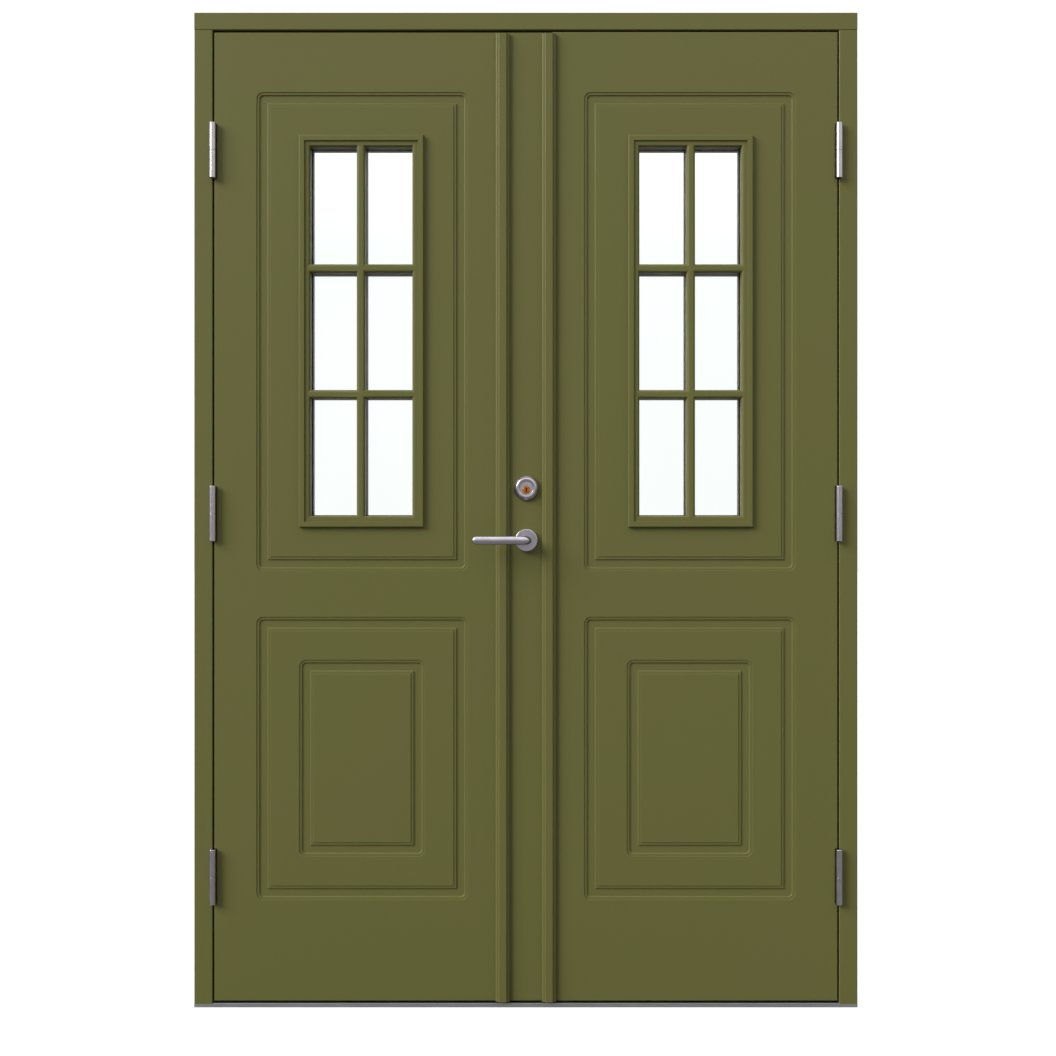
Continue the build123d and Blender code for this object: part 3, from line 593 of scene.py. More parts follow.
    def round_over(self, loop: list[BMEdge], centre: Vector, radius: float, width: float,
                   depth: float) -> list[BMEdge]:
        """Carry a circle round an edge that is a quarter round.

        Args:
            loop: The circle's edges.
            centre: A point on its axis.
            radius: Its radius.
            width: How much smaller it becomes.
            depth: How far it moves along the axis, out of the leaf if negative.

        Returns:
            The smaller circle's edges.
        """
        for inward, move in quarter(width, depth, 4, depth < 0):
            loop = self.draw_out(loop, (0, move, 0))
            self.swell(loop, centre, (radius - inward) / radius)
            radius -= inward
        return loop

    def bend(self, loop: list[BMEdge], pivot: Vector, radius: float, shares: tuple[float, float],
             steps: int) -> list[BMEdge]:
        """Carry a section a quarter turn from -Y to -X, and change its size on the way.

        Args:
            loop: The section's edges.
            pivot: Centre of the bend.
            radius: Radius of the bend's middle line.
            shares: Its last thickness and its last height, as shares of the first.
            steps: How many steps make the turn.

        Returns:
            The last section's edges.
        """
        turn = math.pi / 2 / steps
        thin, tall = (share ** (1 / steps) for share in shares)
        for step in range(1, steps + 1):
            turned = bmesh.ops.spin(self.bm, geom=[*ends(loop), *loop], cent=pivot, axis=(0, 0, 1),
                                    angle=-turn, steps=1)["geom_last"]
            loop = [item for item in turned if isinstance(item, BMEdge)]
            facing = Matrix.Rotation(-turn * step, 4, "Z")
            middle = Matrix.Translation(pivot) @ facing @ Matrix.Translation((radius, 0, 0))
            bmesh.ops.scale(self.bm, vec=(thin, 1.0, tall), space=middle.inverted(), verts=ends(loop))
        return loop

    def fill(self, edges: Iterable[BMEdge]) -> None:
        """Fill the flat region that loops of edges bound, holes left out."""
        bmesh.ops.triangle_fill(self.bm, use_beauty=True, use_dissolve=False, edges=list(edges))

    def spin(self, outline: Sequence[Point], origin: Sequence[float], toward: Sequence[float],
             rounds: dict[int, float], steps: int = TURN) -> None:
        """Turn a closed outline about an axis.

        Args:
            outline: Corners as radius and distance along the axis.
            origin: A point on the axis.
            toward: The axis's direction.
            rounds: Radii for the corners that are rounded, by their index.
            steps: How many steps make the full turn.
        """
        base = Vector(origin)
        axis = Vector(toward).normalized()
        side = axis.orthogonal().normalized()
        before = set(self.bm.verts)
        face = self.plate([base + side * radius + axis * along for radius, along in outline])
        corners = list(face.verts)
        for index, radius in rounds.items():
            self.round_corners([corners[index]], radius, 5)
        fresh = [vert for vert in self.bm.verts if vert not in before]
        loose = {edge for vert in fresh for edge in vert.link_edges}
        bmesh.ops.delete(self.bm, geom=[f for f in self.bm.faces if set(f.verts) <= set(fresh)],
                         context="FACES_ONLY")
        on_axis = [edge for edge in loose if all(self.reach(v, base, axis) < POLE for v in edge.verts)]
        loose -= set(on_axis)
        bmesh.ops.delete(self.bm, geom=on_axis, context="EDGES")
        bmesh.ops.spin(self.bm, geom=[*fresh, *loose], cent=base, axis=axis, angle=math.tau, steps=steps,
                       use_merge=True, use_duplicate=False)
        poles = [vert for vert in self.bm.verts if vert not in before]
        bmesh.ops.remove_doubles(self.bm, verts=poles, dist=POLE)

    @staticmethod
    def reach(vert: BMVert, base: Vector, axis: Vector) -> float:
        """How far a vertex stands from an axis."""
        arm = vert.co - base
        return (arm - axis * arm.dot(axis)).length

    def flip_depth(self) -> None:
        """Mirror the piece from the outer to the inner face of a leaf."""
        middle = Matrix.Translation((0, FACE_Y + LEAF_THICKNESS / 2, 0))
        matrix = middle @ Matrix.Scale(-1, 4, (0, 1, 0)) @ middle.inverted()
        bmesh.ops.transform(self.bm, matrix=matrix, verts=self.bm.verts)

    def finish(self, name: str, body: str, slot: Slot, shelf: Shelf, replaces: Sequence[str] = (),
               crease: float = 30.0) -> bpy.types.Object:
        """Turn the bmesh into a dressed piece that rides on a body.

        Args:
            name: The piece's name.
            body: The body that it moves with.
            slot: Its finish.
            shelf: The materials.
            replaces: The nodes that it stands for.
            crease: Edges sharper than this many degrees stay crisp.

        Returns:
            The new piece.
        """
        bmesh.ops.remove_doubles(self.bm, verts=self.bm.verts, dist=TOUCH)
        bmesh.ops.recalc_face_normals(self.bm, faces=self.bm.faces)
        gaps = sum(1 for edge in self.bm.edges if not edge.is_manifold)
        mesh = bpy.data.meshes.new(name)
        self.bm.to_mesh(mesh)
        self.bm.free()
        for face in mesh.polygons:
            face.use_smooth = True
        mesh.set_sharp_from_angle(angle=math.radians(crease))
        piece = bpy.data.objects.new(name, mesh)
        bpy.context.scene.collection.objects.link(piece)
        weighted = piece.modifiers.new("weighted normals", "WEIGHTED_NORMAL")
        weighted.keep_sharp = True
        weighted.weight = 100
        shelf.dress(piece, slot)
        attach(piece, body)
        if replaces:
            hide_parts(*replaces)
        LOG.info("%s: %d faces, %d open edges", name, len(mesh.polygons), gaps)
        return piece


def weld(parts: Sequence[Bench]) -> Bench:
    """Join overlapping solids into one with an exact union.

    Args:
        parts: Benches that each hold one closed solid.

    Returns:
        A bench that holds their union.
    """
    objects = []
    for index, part in enumerate(parts):
        bmesh.ops.recalc_face_normals(part.bm, faces=part.bm.faces)
        mesh = bpy.data.meshes.new(f"weld_{index}")
        part.bm.to_mesh(mesh)
        part.bm.free()
        item = bpy.data.objects.new(mesh.name, mesh)
        bpy.context.scene.collection.objects.link(item)
        objects.append(item)
    first, *others = objects
    for other in others:
        union = first.modifiers.new("union", "BOOLEAN")
        union.operation = "UNION"
        union.solver = "EXACT"
        union.object = other
    joined = Bench()
    shown = first.evaluated_get(bpy.context.evaluated_depsgraph_get())
    joined.bm.from_mesh(shown.to_mesh())
    shown.to_mesh_clear()
    for item in objects:
        mesh = item.data
        bpy.data.objects.remove(item)
        bpy.data.meshes.remove(mesh)
    return joined


def quarter(width: float, rise: float, count: int, steep_first: bool) -> list[Step]:
    """Steps of width and rise along a quarter of an ellipse.

    Args:
        width: Whole width of the quarter.
        rise: Whole rise of the quarter, downward if negative.
        count: How many steps.
        steep_first: Whether it starts upright and ends level.

    Returns:
        The steps in order.
    """
    angles = [math.pi / 2 * index / count for index in range(count + 1)]
    if steep_first:
        places = [(width * (1 - math.cos(a)), rise * math.sin(a)) for a in angles]
    else:
        places = [(width * math.sin(a), rise * (1 - math.cos(a))) for a in angles]
    return [(b[0] - a[0], b[1] - a[1]) for a, b in zip(places, places[1:])]


def upright(half_width: float, low: float, high: float, x: float, y: float) -> list[Vector]:
    """Corners of an upright rectangle that faces -Y."""
    return [Vector((x - half_width, y, low)), Vector((x + half_width, y, low)),
            Vector((x + half_width, y, high)), Vector((x - half_width, y, high))]


@dataclass
class RoutedGroove:
    """A groove milled round a panel by a profiled cutter.

    Attributes:
        width: From its outer to its inner edge.
        depth: Deepest point.
        ledge_depth: Depth of the ledge beside each wall.
        ledge: Width of the ledge.
        cove: Width of the curve from the ledge down to the floor.
        tool_radius: Radius that the cutter leaves at the outer corners.
        lip: Radius of the two upper edges.
    """

    width: float = 31.0 * MM
    depth: float = 4.2 * MM
    ledge_depth: float = 1.6 * MM
    ledge: float = 4.4 * MM
    cove: float = 2.0 * MM
    tool_radius: float = 15.0 * MM
    lip: float = 0.9 * MM

    def wall(self) -> list[Step]:
        """Steps from the face down to the floor."""
        crisp = 0.25 * MM
        drop = self.depth - self.ledge_depth
        straight = 0.4 * drop
        return [
            *quarter(self.lip, -self.lip, 2, False),
            (crisp, self.lip - self.ledge_depth),
            (self.ledge, 0.0),
            *quarter(self.lip, -self.lip, 2, False),
            (crisp, self.lip - straight),
            *quarter(self.cove, straight - drop, 5, True),
        ]

    def mill(self, bench: Bench, half_width: float, low: float, high: float,
             x: float) -> tuple[list[BMEdge], list[BMEdge]]:
        """Mill the groove round a panel.

        The cutter rounds the outer corners. Within its radius the corners are mitred.

        Args:
            bench: The board that is milled.
            half_width: Half the panel's width.
            low: Height of its lower edge.
            high: Height of its upper edge.
            x: Its middle.

        Returns:
            The groove's outer and inner loops.
        """
        centre = Vector((x, FACE_Y, (low + high) / 2))
        radius = self.tool_radius
        reach = Vector((half_width - radius, 0, (high - low) / 2 - radius))
        rim = bench.rounded_ring(upright(half_width, low, high, x, FACE_Y), radius, 8)
        loop = rim
        for width, rise in self.wall():
            loop = bench.draw_out(loop, (0, -rise, 0))
            bench.tuck_corners(loop, centre, reach, (radius - width) / radius)
            radius -= width
        loop = bench.draw_out(loop, (0, 0, 0))
        bench.tuck_corners(loop, centre, reach, 0.0)
        loop = bench.close_corners(loop)
        flat = self.width - 2 * self.tool_radius + radius
        for width, rise in [(flat, 0.0), *((width, -rise) for width, rise in reversed(self.wall()))]:
            loop = bench.step_loop(loop, centre, -width, -rise)
        return rim, loop


@dataclass
class FaceBoard:
    """The milled board on one face of a leaf, with three routed grooves.

    Attributes:
        side: The leaf.
        face: Which of its faces.
        groove: The cutter's profile.
        panel_x: How far the panels' middle stands from the centre.
        upper: Half width, lower and upper edge of the window's panel.
        lower: The same for the lower panel.
        nested: The same for the panel within it.
        window: The same for the hole that the window fills.
        ease: Radius of the board's outer edge.
        thickness: Thickness of the board.
        bevel: Slope of the leaves' meeting edges.
        bores: Height and radius of the holes for the cylinder and the spindle.
        bore_x: Where they stand.
    """

    side: LeafSide
    face: LeafFace
    groove: RoutedGroove = field(default_factory=RoutedGroove)
    panel_x: float = 343.3 * MM
    upper: tuple[float, float, float] = (221.9 * MM, 913.9 * MM, 1918.2 * MM)
    lower: tuple[float, float, float] = (221.9 * MM, 224.3 * MM, 818.6 * MM)
    nested: tuple[float, float, float] = (132.4 * MM, 315.1 * MM, 728.5 * MM)
    window: tuple[float, float, float] = (118.0 * MM, 1019.6 * MM, 1818.6 * MM)
    ease: float = 1.5 * MM
    thickness: float = 9.0 * MM
    bevel: float = math.tan(MEETING_LEAN)
    bores: tuple[Point, ...] = ((1088.0 * MM, 15.2 * MM), (978.8 * MM, 10.5 * MM))
    bore_x: float = 1.0 * MM

    @property
    def node(self) -> str:
        """Name of the node that the board stands for."""
        return f"{self.side.word}_leaf_skin_{self.face.value}"

    def outline(self) -> list[Vector]:
        """Corners of the board, with a notch for each hinge plate on an outer board."""
        low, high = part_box(self.node)
        hinge_x, meeting_x = (low.x, high.x) if self.side is LeafSide.ACTIVE else (high.x, low.x)
        y = FACE_Y + self.ease
        corners = [(hinge_x, low.z), (meeting_x, low.z), (meeting_x, high.z), (hinge_x, high.z)]
        if self.face is LeafFace.OUTER:
            word = "left" if self.side is LeafSide.ACTIVE else "right"
            for place in ("top", "middle", "bottom"):
                seat_low, seat_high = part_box(f"hinge_{word}_{place}_leaf_half")
                seat_x = seat_high.x if self.side is LeafSide.ACTIVE else seat_low.x
                corners += [(hinge_x, seat_high.z), (seat_x, seat_high.z), (seat_x, seat_low.z),
                            (hinge_x, seat_low.z)]
        points = [Vector((x, y, z)) for x, z in corners]
        return points if self.side is LeafSide.ACTIVE else points[::-1]

    def build(self, shelf: Shelf) -> None:
        """Mill the board and put it on its leaf."""
        bench = Bench()
        x = self.side.value * self.panel_x
        sheet = bench.plate(self.outline())
        rim = list(sheet.edges)
        bench.step_in(sheet, quarter(self.ease, self.ease, 3, True))
        face_loops = bench.drop(sheet)
        upper_rim, upper_panel = self.groove.mill(bench, *self.upper, x)
        lower_rim, lower_panel = self.groove.mill(bench, *self.lower, x)
        nested_rim, nested_panel = self.groove.mill(bench, *self.nested, x)
        holes = self.drillings(bench)
        opening = bench.ring(upright(*self.window, x, FACE_Y))
        bench.fill([*face_loops, *upper_rim, *lower_rim, *[edge for hole in holes for edge in hole]])
        bench.fill([*upper_panel, *opening])
        bench.fill([*lower_panel, *nested_rim])
        bench.fill(nested_panel)
        back = bench.draw_out(rim, (0, self.thickness - self.ease, 0))
        for loop in (opening, *holes):
            back += bench.draw_out(loop, (0, self.thickness, 0))
        bench.fill(back)
        self.lean_meeting_edge(bench)
        if self.face is LeafFace.INNER:
            bench.flip_depth()
        bench.finish(self.node.replace("skin", "board"), self.side.body, Slot.PAINT, shelf, [self.node])

    def drillings(self, bench: Bench) -> list[list[BMEdge]]:
        """Lay the holes for the cylinder and the spindle in an active board."""
        if self.side is LeafSide.PASSIVE:
            return []
        return [bench.circle((self.bore_x, FACE_Y, height), radius) for height, radius in self.bores]

    def lean_meeting_edge(self, bench: Bench) -> None:
        """Lean the meeting edge's back corner by the leaves' bevel."""
        low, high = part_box(self.node)
        edge_x = high.x if self.side is LeafSide.ACTIVE else low.x
        lean = self.thickness * self.bevel * self.side.value
        if self.face is LeafFace.INNER:
            lean = -lean
        near = 0.1 * MM
        for vert in bench.bm.verts:
            if abs(vert.co.x - edge_x) < near and vert.co.y > FACE_Y + 2 * self.ease:
                vert.co.x += lean


@dataclass
class WindowTrim:
    """The mitred frame that holds the glass on one face of a leaf.

    Attributes:
        side: The leaf.
        face: Which of its faces.
        face_width: From the opening to its outer edge.
        proud: How far its rim stands from the leaf.
        outer_round: Radius of its outer edge.
        rim: Width of the flat rim.
        shelf_proud: How far the shelf inside the rim stands out.
        ovolo: Width of the rounded edge at the opening.
        lip_depth: Depth at which the rounded edge ends.
        glass_depth: Depth at which the trim meets the glass.
        flange: How far its foot reaches into the leaf beyond the opening.
        half_width: Half the opening's width.
        level: Heights of the opening's sill and top indoors.
        outdoor_drop: How much lower each of them is outdoors.
        x: How far the opening's middle stands from the centre.
    """

    side: LeafSide
    face: LeafFace
    face_width: float = 24.0 * MM
    proud: float = 9.0 * MM
    outer_round: float = 2.4 * MM
    rim: float = 9.6 * MM
    shelf_proud: float = 5.5 * MM
    ovolo: float = 4.8 * MM
    lip_depth: float = 1.5 * MM
    glass_depth: float = 19.0 * MM
    flange: float = 11.5 * MM
    half_width: float = 106.5 * MM
    level: Span = (1031.1 * MM, 1805.5 * MM)
    outdoor_drop: Span = (0.8 * MM, 3.1 * MM)
    x: float = 344.5 * MM

    def __post_init__(self) -> None:
        """Find the sill and the top of the opening on this face."""
        drop = self.outdoor_drop if self.face is LeafFace.OUTER else (0.0, 0.0)
        self.low, self.high = (height - lower for height, lower in zip(self.level, drop))

    def steps(self) -> list[Step]:
        """Steps of the moulding from its outer edge to the glass."""
        crisp = 0.4 * MM
        step_down = self.proud - self.shelf_proud
        shelf_width = self.face_width - self.outer_round - self.rim - self.ovolo
        return [
            (0.0, self.proud - self.outer_round),
            *quarter(self.outer_round, self.outer_round, 5, True),
            (self.rim - 2 * crisp, 0.0),
            *quarter(crisp, -crisp, 2, False),
            (crisp, crisp - step_down),
            (shelf_width, 0.0),
            *quarter(self.ovolo, -self.shelf_proud - self.lip_depth, 7, False),
            (0.0, self.lip_depth - self.glass_depth),
        ]

    def build(self, shelf: Shelf) -> None:
        """Mould the frame and set it in the leaf."""
        bench = Bench()
        centre = Vector((self.side.value * self.x, FACE_Y, (self.low + self.high) / 2))
        foot = upright(self.half_width + self.face_width, self.low - self.face_width,
                       self.high + self.face_width, centre.x, FACE_Y)
        loop = bench.ring(foot)
        around = [(self.flange, 0.0), (0.0, -self.glass_depth), (self.face_width - self.flange, 0.0)]
        for inward, rise in self.steps():
            loop = bench.step_loop(loop, centre, -inward, -rise)
        for outward, depth in around:
            loop = bench.step_loop(loop, centre, outward, depth)
        if self.face is LeafFace.INNER:
            bench.flip_depth()
        node = f"{self.side.word}_window_trim_{self.face.value}"
        bench.finish(node.replace("trim", "moulding"), self.side.body, Slot.PAINT, shelf, [node])


@dataclass
class WindowGrille:
    """Muntins that part a window into six panes on one face of a leaf.

    Attributes:
        trim: The frame that the muntins stand in.
        width: Width of a muntin.
        proud: How far its crown stands from the leaf.
        round_over: Width of each rounded shoulder.
        rows: Rows of panes.
        lean: How far outward the upright muntin stands from the middle.
    """

    trim: WindowTrim
    width: float = 18.0 * MM
    proud: float = 5.5 * MM
    round_over: float = 6.0 * MM
    rows: int = 3
    lean: float = 0.9 * MM

    @property
    def x(self) -> float:
        """Where the upright muntin stands."""
        return self.trim.side.value * (self.trim.x + self.lean)

    def levels(self) -> list[float]:
        """Heights of the level muntins, which part the window into equal panes."""
        trim = self.trim
        pane = (trim.high - trim.low - (self.rows - 1) * self.width) / self.rows
        return [trim.low + row * (pane + self.width) - self.width / 2 for row in range(1, self.rows)]

    def bar(self, low: Sequence[float], high: Sequence[float], along: int) -> Bench:
        """One muntin: a bar whose two front edges are rounded over."""
        bench = Bench()
        verts = bench.box(low, high)
        front = [edge for edge in bench.bm.edges
                 if all(abs(v.co.y - low[1]) < TOUCH for v in edge.verts)
                 and abs(edge.verts[0].co[along] - edge.verts[1].co[along]) > self.width * 2]
        bench.round_edges(front, self.round_over, 7)
        return bench

    def build(self, shelf: Shelf) -> None:
        """Cut the bars, weld them where they cross, and put them in the window."""
        trim = self.trim
        middle = trim.side.value * trim.x
        half = self.width / 2
        reach = trim.ovolo
        front = FACE_Y - self.proud
        back = FACE_Y + trim.glass_depth
        left = middle - trim.half_width - reach
        right = middle + trim.half_width + reach
        upright_low = (self.x - half, front, trim.low - reach)
        upright_high = (self.x + half, back, trim.high + reach)
        bars = [self.bar(upright_low, upright_high, 2)]
        bars += [self.bar((left, front, z - half), (right, back, z + half), 0) for z in self.levels()]
        bench = weld(bars)
        if trim.face is LeafFace.INNER:
            bench.flip_depth()
        node = f"{trim.side.word}_window_grille_{trim.face.value}"
        bench.finish(node.replace("grille", "muntins"), trim.side.body, Slot.PAINT, shelf, [node])


@dataclass
class WindowSpacer:
    """The dark bar round a sealed window, with thin bars behind its muntins.

    Attributes:
        grille: The outer muntins that the thin bars stand behind.
        width: Width of the bar at the edge.
        bar: Width of a thin bar.
    """

    grille: WindowGrille
    width: float = 10.0 * MM
    bar: float = 15.0 * MM

    def build(self, shelf: Shelf) -> None:
        """Join the bars and seal them between the panes."""
        side = self.grille.trim.side
        node = f"{side.word}_window_spacer"
        low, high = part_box(node)
        half = self.bar / 2
        x = self.grille.x
        spans = [
            (low.x, low.x + self.width, low.z, high.z),
            (high.x - self.width, high.x, low.z, high.z),
            (low.x, high.x, low.z, low.z + self.width),
            (low.x, high.x, high.z - self.width, high.z),
            (x - half, x + half, low.z, high.z),
            *((low.x, high.x, z - half, z + half) for z in self.grille.levels()),
        ]
        bars = []
        for left, right, bottom, top in spans:
            bars.append(Bench())
            bars[-1].box((left, low.y, bottom), (right, high.y, top))
        weld(bars).finish(f"{side.word}_spacer_bars", side.body, Slot.SPACER, shelf, [node])


@dataclass
class MouldedStrip:
    """A two-step moulded strip on the active leaf.

    Attributes:
        node: The node that it stands for.
        shoulder: Height of the lower step.
        inset: How far the upper step stands in.
        lower_round: Radius of the lower step's edge.
        upper_round: Radius of the upper step's edge.
    """

    node: str
    shoulder: float = 7.2 * MM
    inset: float = 5.6 * MM
    lower_round: float = 4.2 * MM
    upper_round: float = 3.0 * MM

    def build(self, shelf: Shelf) -> None:
        """Plane the strip and fix it to the leaf."""
        low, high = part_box(self.node)
        bench = Bench()
        middle = (low.x + high.x) / 2
        half = (high.x - low.x) / 2
        crown = low.y
        step = FACE_Y - self.shoulder
        upper = half - self.inset
        outline = [(-half, FACE_Y), (half, FACE_Y), (half, step), (upper, step),
                   (upper, crown), (-upper, crown), (-upper, step), (-half, step)]
        corners = list(bench.plate([(middle + x, y, low.z) for x, y in outline]).verts)
        for index, radius in ((2, self.lower_round), (7, self.lower_round),
                              (4, self.upper_round), (5, self.upper_round)):
            bench.round_corners([corners[index]], radius)
        bench.thicken(next(iter(bench.bm.faces)), (0, 0, high.z - low.z))
        name = self.node.replace("strip", "moulding")
        bench.finish(name, LeafSide.ACTIVE.body, Slot.PAINT, shelf, [self.node])


@dataclass
class LockFurniture:
    """Everything turned or bent that shows on the two faces at the lock.

    Attributes:
        x: Where the lock's axes stand.
        lever_z: Height of the lever's axis.
        cylinder_z: Height of the cylinder ring's centre.
        plug_z: Height of the key plug's axis.
        case_depth: Depth of the lock case's near face.
        rose_radius: Radius of the thumb turn's rose and, but for its flare, of the ring.
        ring_bore: Radius of the ring's bore.
        ring_flare: How much wider the ring is than the rose.
        ring_foot: Height of its upright wall.
        ring_crest: Radius and height of its crest.
        ring_dish: How much lower its inner edge is.
        body_radius: Radius of the cylinder's body.
        body_proud: How far the body stands out.
        plug_radius: Radius of the key plug.
        plug_proud: How far the plug stands out.
        plug_play: Room between plug and body.
        keyway: Width, height and depth of the keyway.
        keyway_taper: Size of the keyway's end as a share of its mouth.
        tail_radius: Radius of the plug's and the thumb turn's tail.
        tail_end: Depth at which the plug's tail ends.
        lever_rose: Bore, radius and height of a lever's rose.
        neck_radius: Radius of a lever's neck.
        spindle: Side of the square spindle, and how far it reaches into a lever.
    """

    x: float = 1.0 * MM
    lever_z: float = 978.8 * MM
    cylinder_z: float = 1088.0 * MM
    plug_z: float = 1083.8 * MM
    case_depth: float = 23.0 * MM
    rose_radius: float = 25.4 * MM
    ring_bore: float = 14.3 * MM
    ring_flare: float = 0.7 * MM
    ring_foot: float = 4.8 * MM
    ring_crest: Point = (19.9 * MM, 11.0 * MM)
    ring_dish: float = 0.6 * MM
    body_radius: float = 14.2 * MM
    body_proud: float = 8.0 * MM
    plug_radius: float = 8.0 * MM
    plug_proud: float = 8.5 * MM
    plug_play: float = 0.05 * MM
    keyway: tuple[float, float, float] = (2.8 * MM, 9.0 * MM, 8.0 * MM)
    keyway_taper: float = 0.12
    tail_radius: float = 4.6 * MM
    tail_end: float = 30.0 * MM
    lever_rose: tuple[float, float, float] = (8.8 * MM, 23.5 * MM, 9.0 * MM)
    neck_radius: float = 8.5 * MM
    spindle: tuple[float, float] = (8.0 * MM, 18.5 * MM)

    def at(self, height: float, depth: float = 0.0) -> Vector:
        """A point on one of the lock's axes."""
        return Vector((self.x, FACE_Y + depth, height))

    def upright(self, half_width: float, half_height: float, height: float, depth: float) -> list[Vector]:
        """Corners of an upright rectangle about one of the lock's axes."""
        return upright(half_width, height - half_height, height + half_height, self.x, FACE_Y + depth)

    def ring(self, shelf: Shelf) -> None:
        """The drill-proof ring round the cylinder."""
        bench = Bench()
        foot = self.rose_radius + self.ring_flare
        outline = [(self.ring_bore, 0.0), (foot, 0.0), (foot, self.ring_foot), self.ring_crest,
                   (self.ring_bore, self.ring_crest[1] - self.ring_dish)]
        rounds = {2: 2.0 * MM, 3: 1.6 * MM, 4: 0.5 * MM}
        bench.spin(outline, self.at(self.cylinder_z), (0, -1, 0), rounds, FINE_TURN)
        bench.finish("cylinder_guard", "active_leaf", Slot.STEEL, shelf, ["cylinder_ring"])

    def cylinder(self, shelf: Shelf) -> None:
        """The cylinder's body, bored off its centre for the plug."""
        bench = Bench()
        edge, lip = 0.6 * MM, 0.4 * MM
        back = bench.circle(self.at(self.cylinder_z, self.case_depth), self.body_radius, TURN)
        front = bench.draw_out(back, (0, edge - self.body_proud - self.case_depth, 0))
        front = bench.round_over(front, self.at(self.cylinder_z), self.body_radius, edge, -edge)
        mouth_radius = self.plug_radius + self.plug_play + lip
        mouth = bench.circle(self.at(self.plug_z, -self.body_proud), mouth_radius)
        inside = bench.round_over(mouth, self.at(self.plug_z), mouth_radius, lip, lip)
        end = bench.draw_out(inside, (0, self.case_depth + self.body_proud - lip, 0))
        bench.fill([*front, *mouth])
        bench.fill([*back, *end])
        bench.finish("cylinder_barrel", "active_leaf", Slot.STEEL, shelf, ["cylinder_body"])

    def plug(self, shelf: Shelf) -> None:
        """The key plug with its keyway and its tail."""
        bench = Bench()
        centre = self.at(self.plug_z)
        edge, slot_round = 0.7 * MM, 0.7 * MM
        width, height, reach = self.keyway
        neck = self.case_depth - 1 * MM
        tail = bench.circle(self.at(self.plug_z, self.tail_end), self.tail_radius)
        bench.fill(tail)
        shoulder = bench.draw_out(tail, (0, neck - self.tail_end, 0))
        shoulder = bench.draw_out(shoulder, (0, 0, 0))
        bench.swell(shoulder, centre, self.plug_radius / self.tail_radius)
        front = bench.draw_out(shoulder, (0, edge - self.plug_proud - neck, 0))
        front = bench.round_over(front, centre, self.plug_radius, edge, -edge)
        corners = self.upright(width / 2, height / 2, self.plug_z, -self.plug_proud)
        slot = bench.rounded_ring(corners, slot_round, 4)
        bench.fill([*front, *slot])
        slot = bench.draw_out(slot, (0, reach, 0))
        bench.swell(slot, centre, self.keyway_taper)
        bench.fill(slot)
        bench.finish("keyed_plug", "key_plug", Slot.BRASS, shelf, ["key_plug"])

    def rose(self, shelf: Shelf, face: LeafFace) -> None:
        """The round rose that the lever turns in."""
        bench = Bench()
        bore, radius, proud = self.lever_rose
        outline = [(bore, 0.0), (radius, 0.0), (radius, proud), (bore, proud)]
        bench.spin(outline, self.at(self.lever_z), (0, -1, 0), {2: 1.8 * MM, 3: 0.4 * MM}, FINE_TURN)
        if face is LeafFace.INNER:
            bench.flip_depth()
        node = f"lever_rose_{face.value}"
        bench.finish(f"{face.value}_rose", "active_leaf", Slot.STEEL, shelf, [node])

    def thumb_rose(self, shelf: Shelf) -> None:
        """The inside rose, bored off its centre for the thumb turn's tail."""
        bench = Bench()
        edge, proud, play = 1.6 * MM, 8.0 * MM, 0.3 * MM
        back = bench.circle(self.at(self.cylinder_z), self.rose_radius, FINE_TURN)
        front = bench.draw_out(back, (0, edge - proud, 0))
        front = bench.round_over(front, self.at(self.cylinder_z), self.rose_radius, edge, -edge)
        mouth = bench.circle(self.at(self.plug_z, -proud), self.tail_radius + play)
        end = bench.draw_out(mouth, (0, proud, 0))
        bench.fill([*front, *mouth])
        bench.fill([*back, *end])
        bench.flip_depth()
        bench.finish("thumb_rose", "active_leaf", Slot.STEEL, shelf, ["thumb_turn_rose"])

    def thumb(self, shelf: Shelf) -> None:
        """The thumb turn: a flat grip with rounded ends on a round tail."""
        half_width, half_height = 4.5 * MM, 17.0 * MM
        foot, crown = 8.3 * MM, 28.3 * MM
        edge = 1.2 * MM
        bench = Bench()
        loop = bench.circle(self.at(self.plug_z, -foot), self.tail_radius)
        bench.fill(loop)
        bench.fill(bench.draw_out(loop, (0, foot + LEAF_THICKNESS / 2, 0)))
        end_round = half_width - 0.01 * MM
        loop = bench.rounded_ring(self.upright(half_width, half_height, self.plug_z, -foot), end_round, 9)
        bench.fill(loop)
        loop = bench.draw_out(loop, (0, foot + edge - crown, 0))
        reach = Vector((0, 0, half_height - half_width))
        radius = half_width
        for width, rise in quarter(edge, edge, 5, True):
            loop = bench.draw_out(loop, (0, -rise, 0))
            bench.tuck_corners(loop, self.at(self.plug_z), reach, (radius - width) / radius)
            radius -= width
        bench.fill(loop)
        bench.flip_depth()
        bench.finish("thumb_grip", "thumb_turn", Slot.STEEL, shelf, ["thumb_turn"])

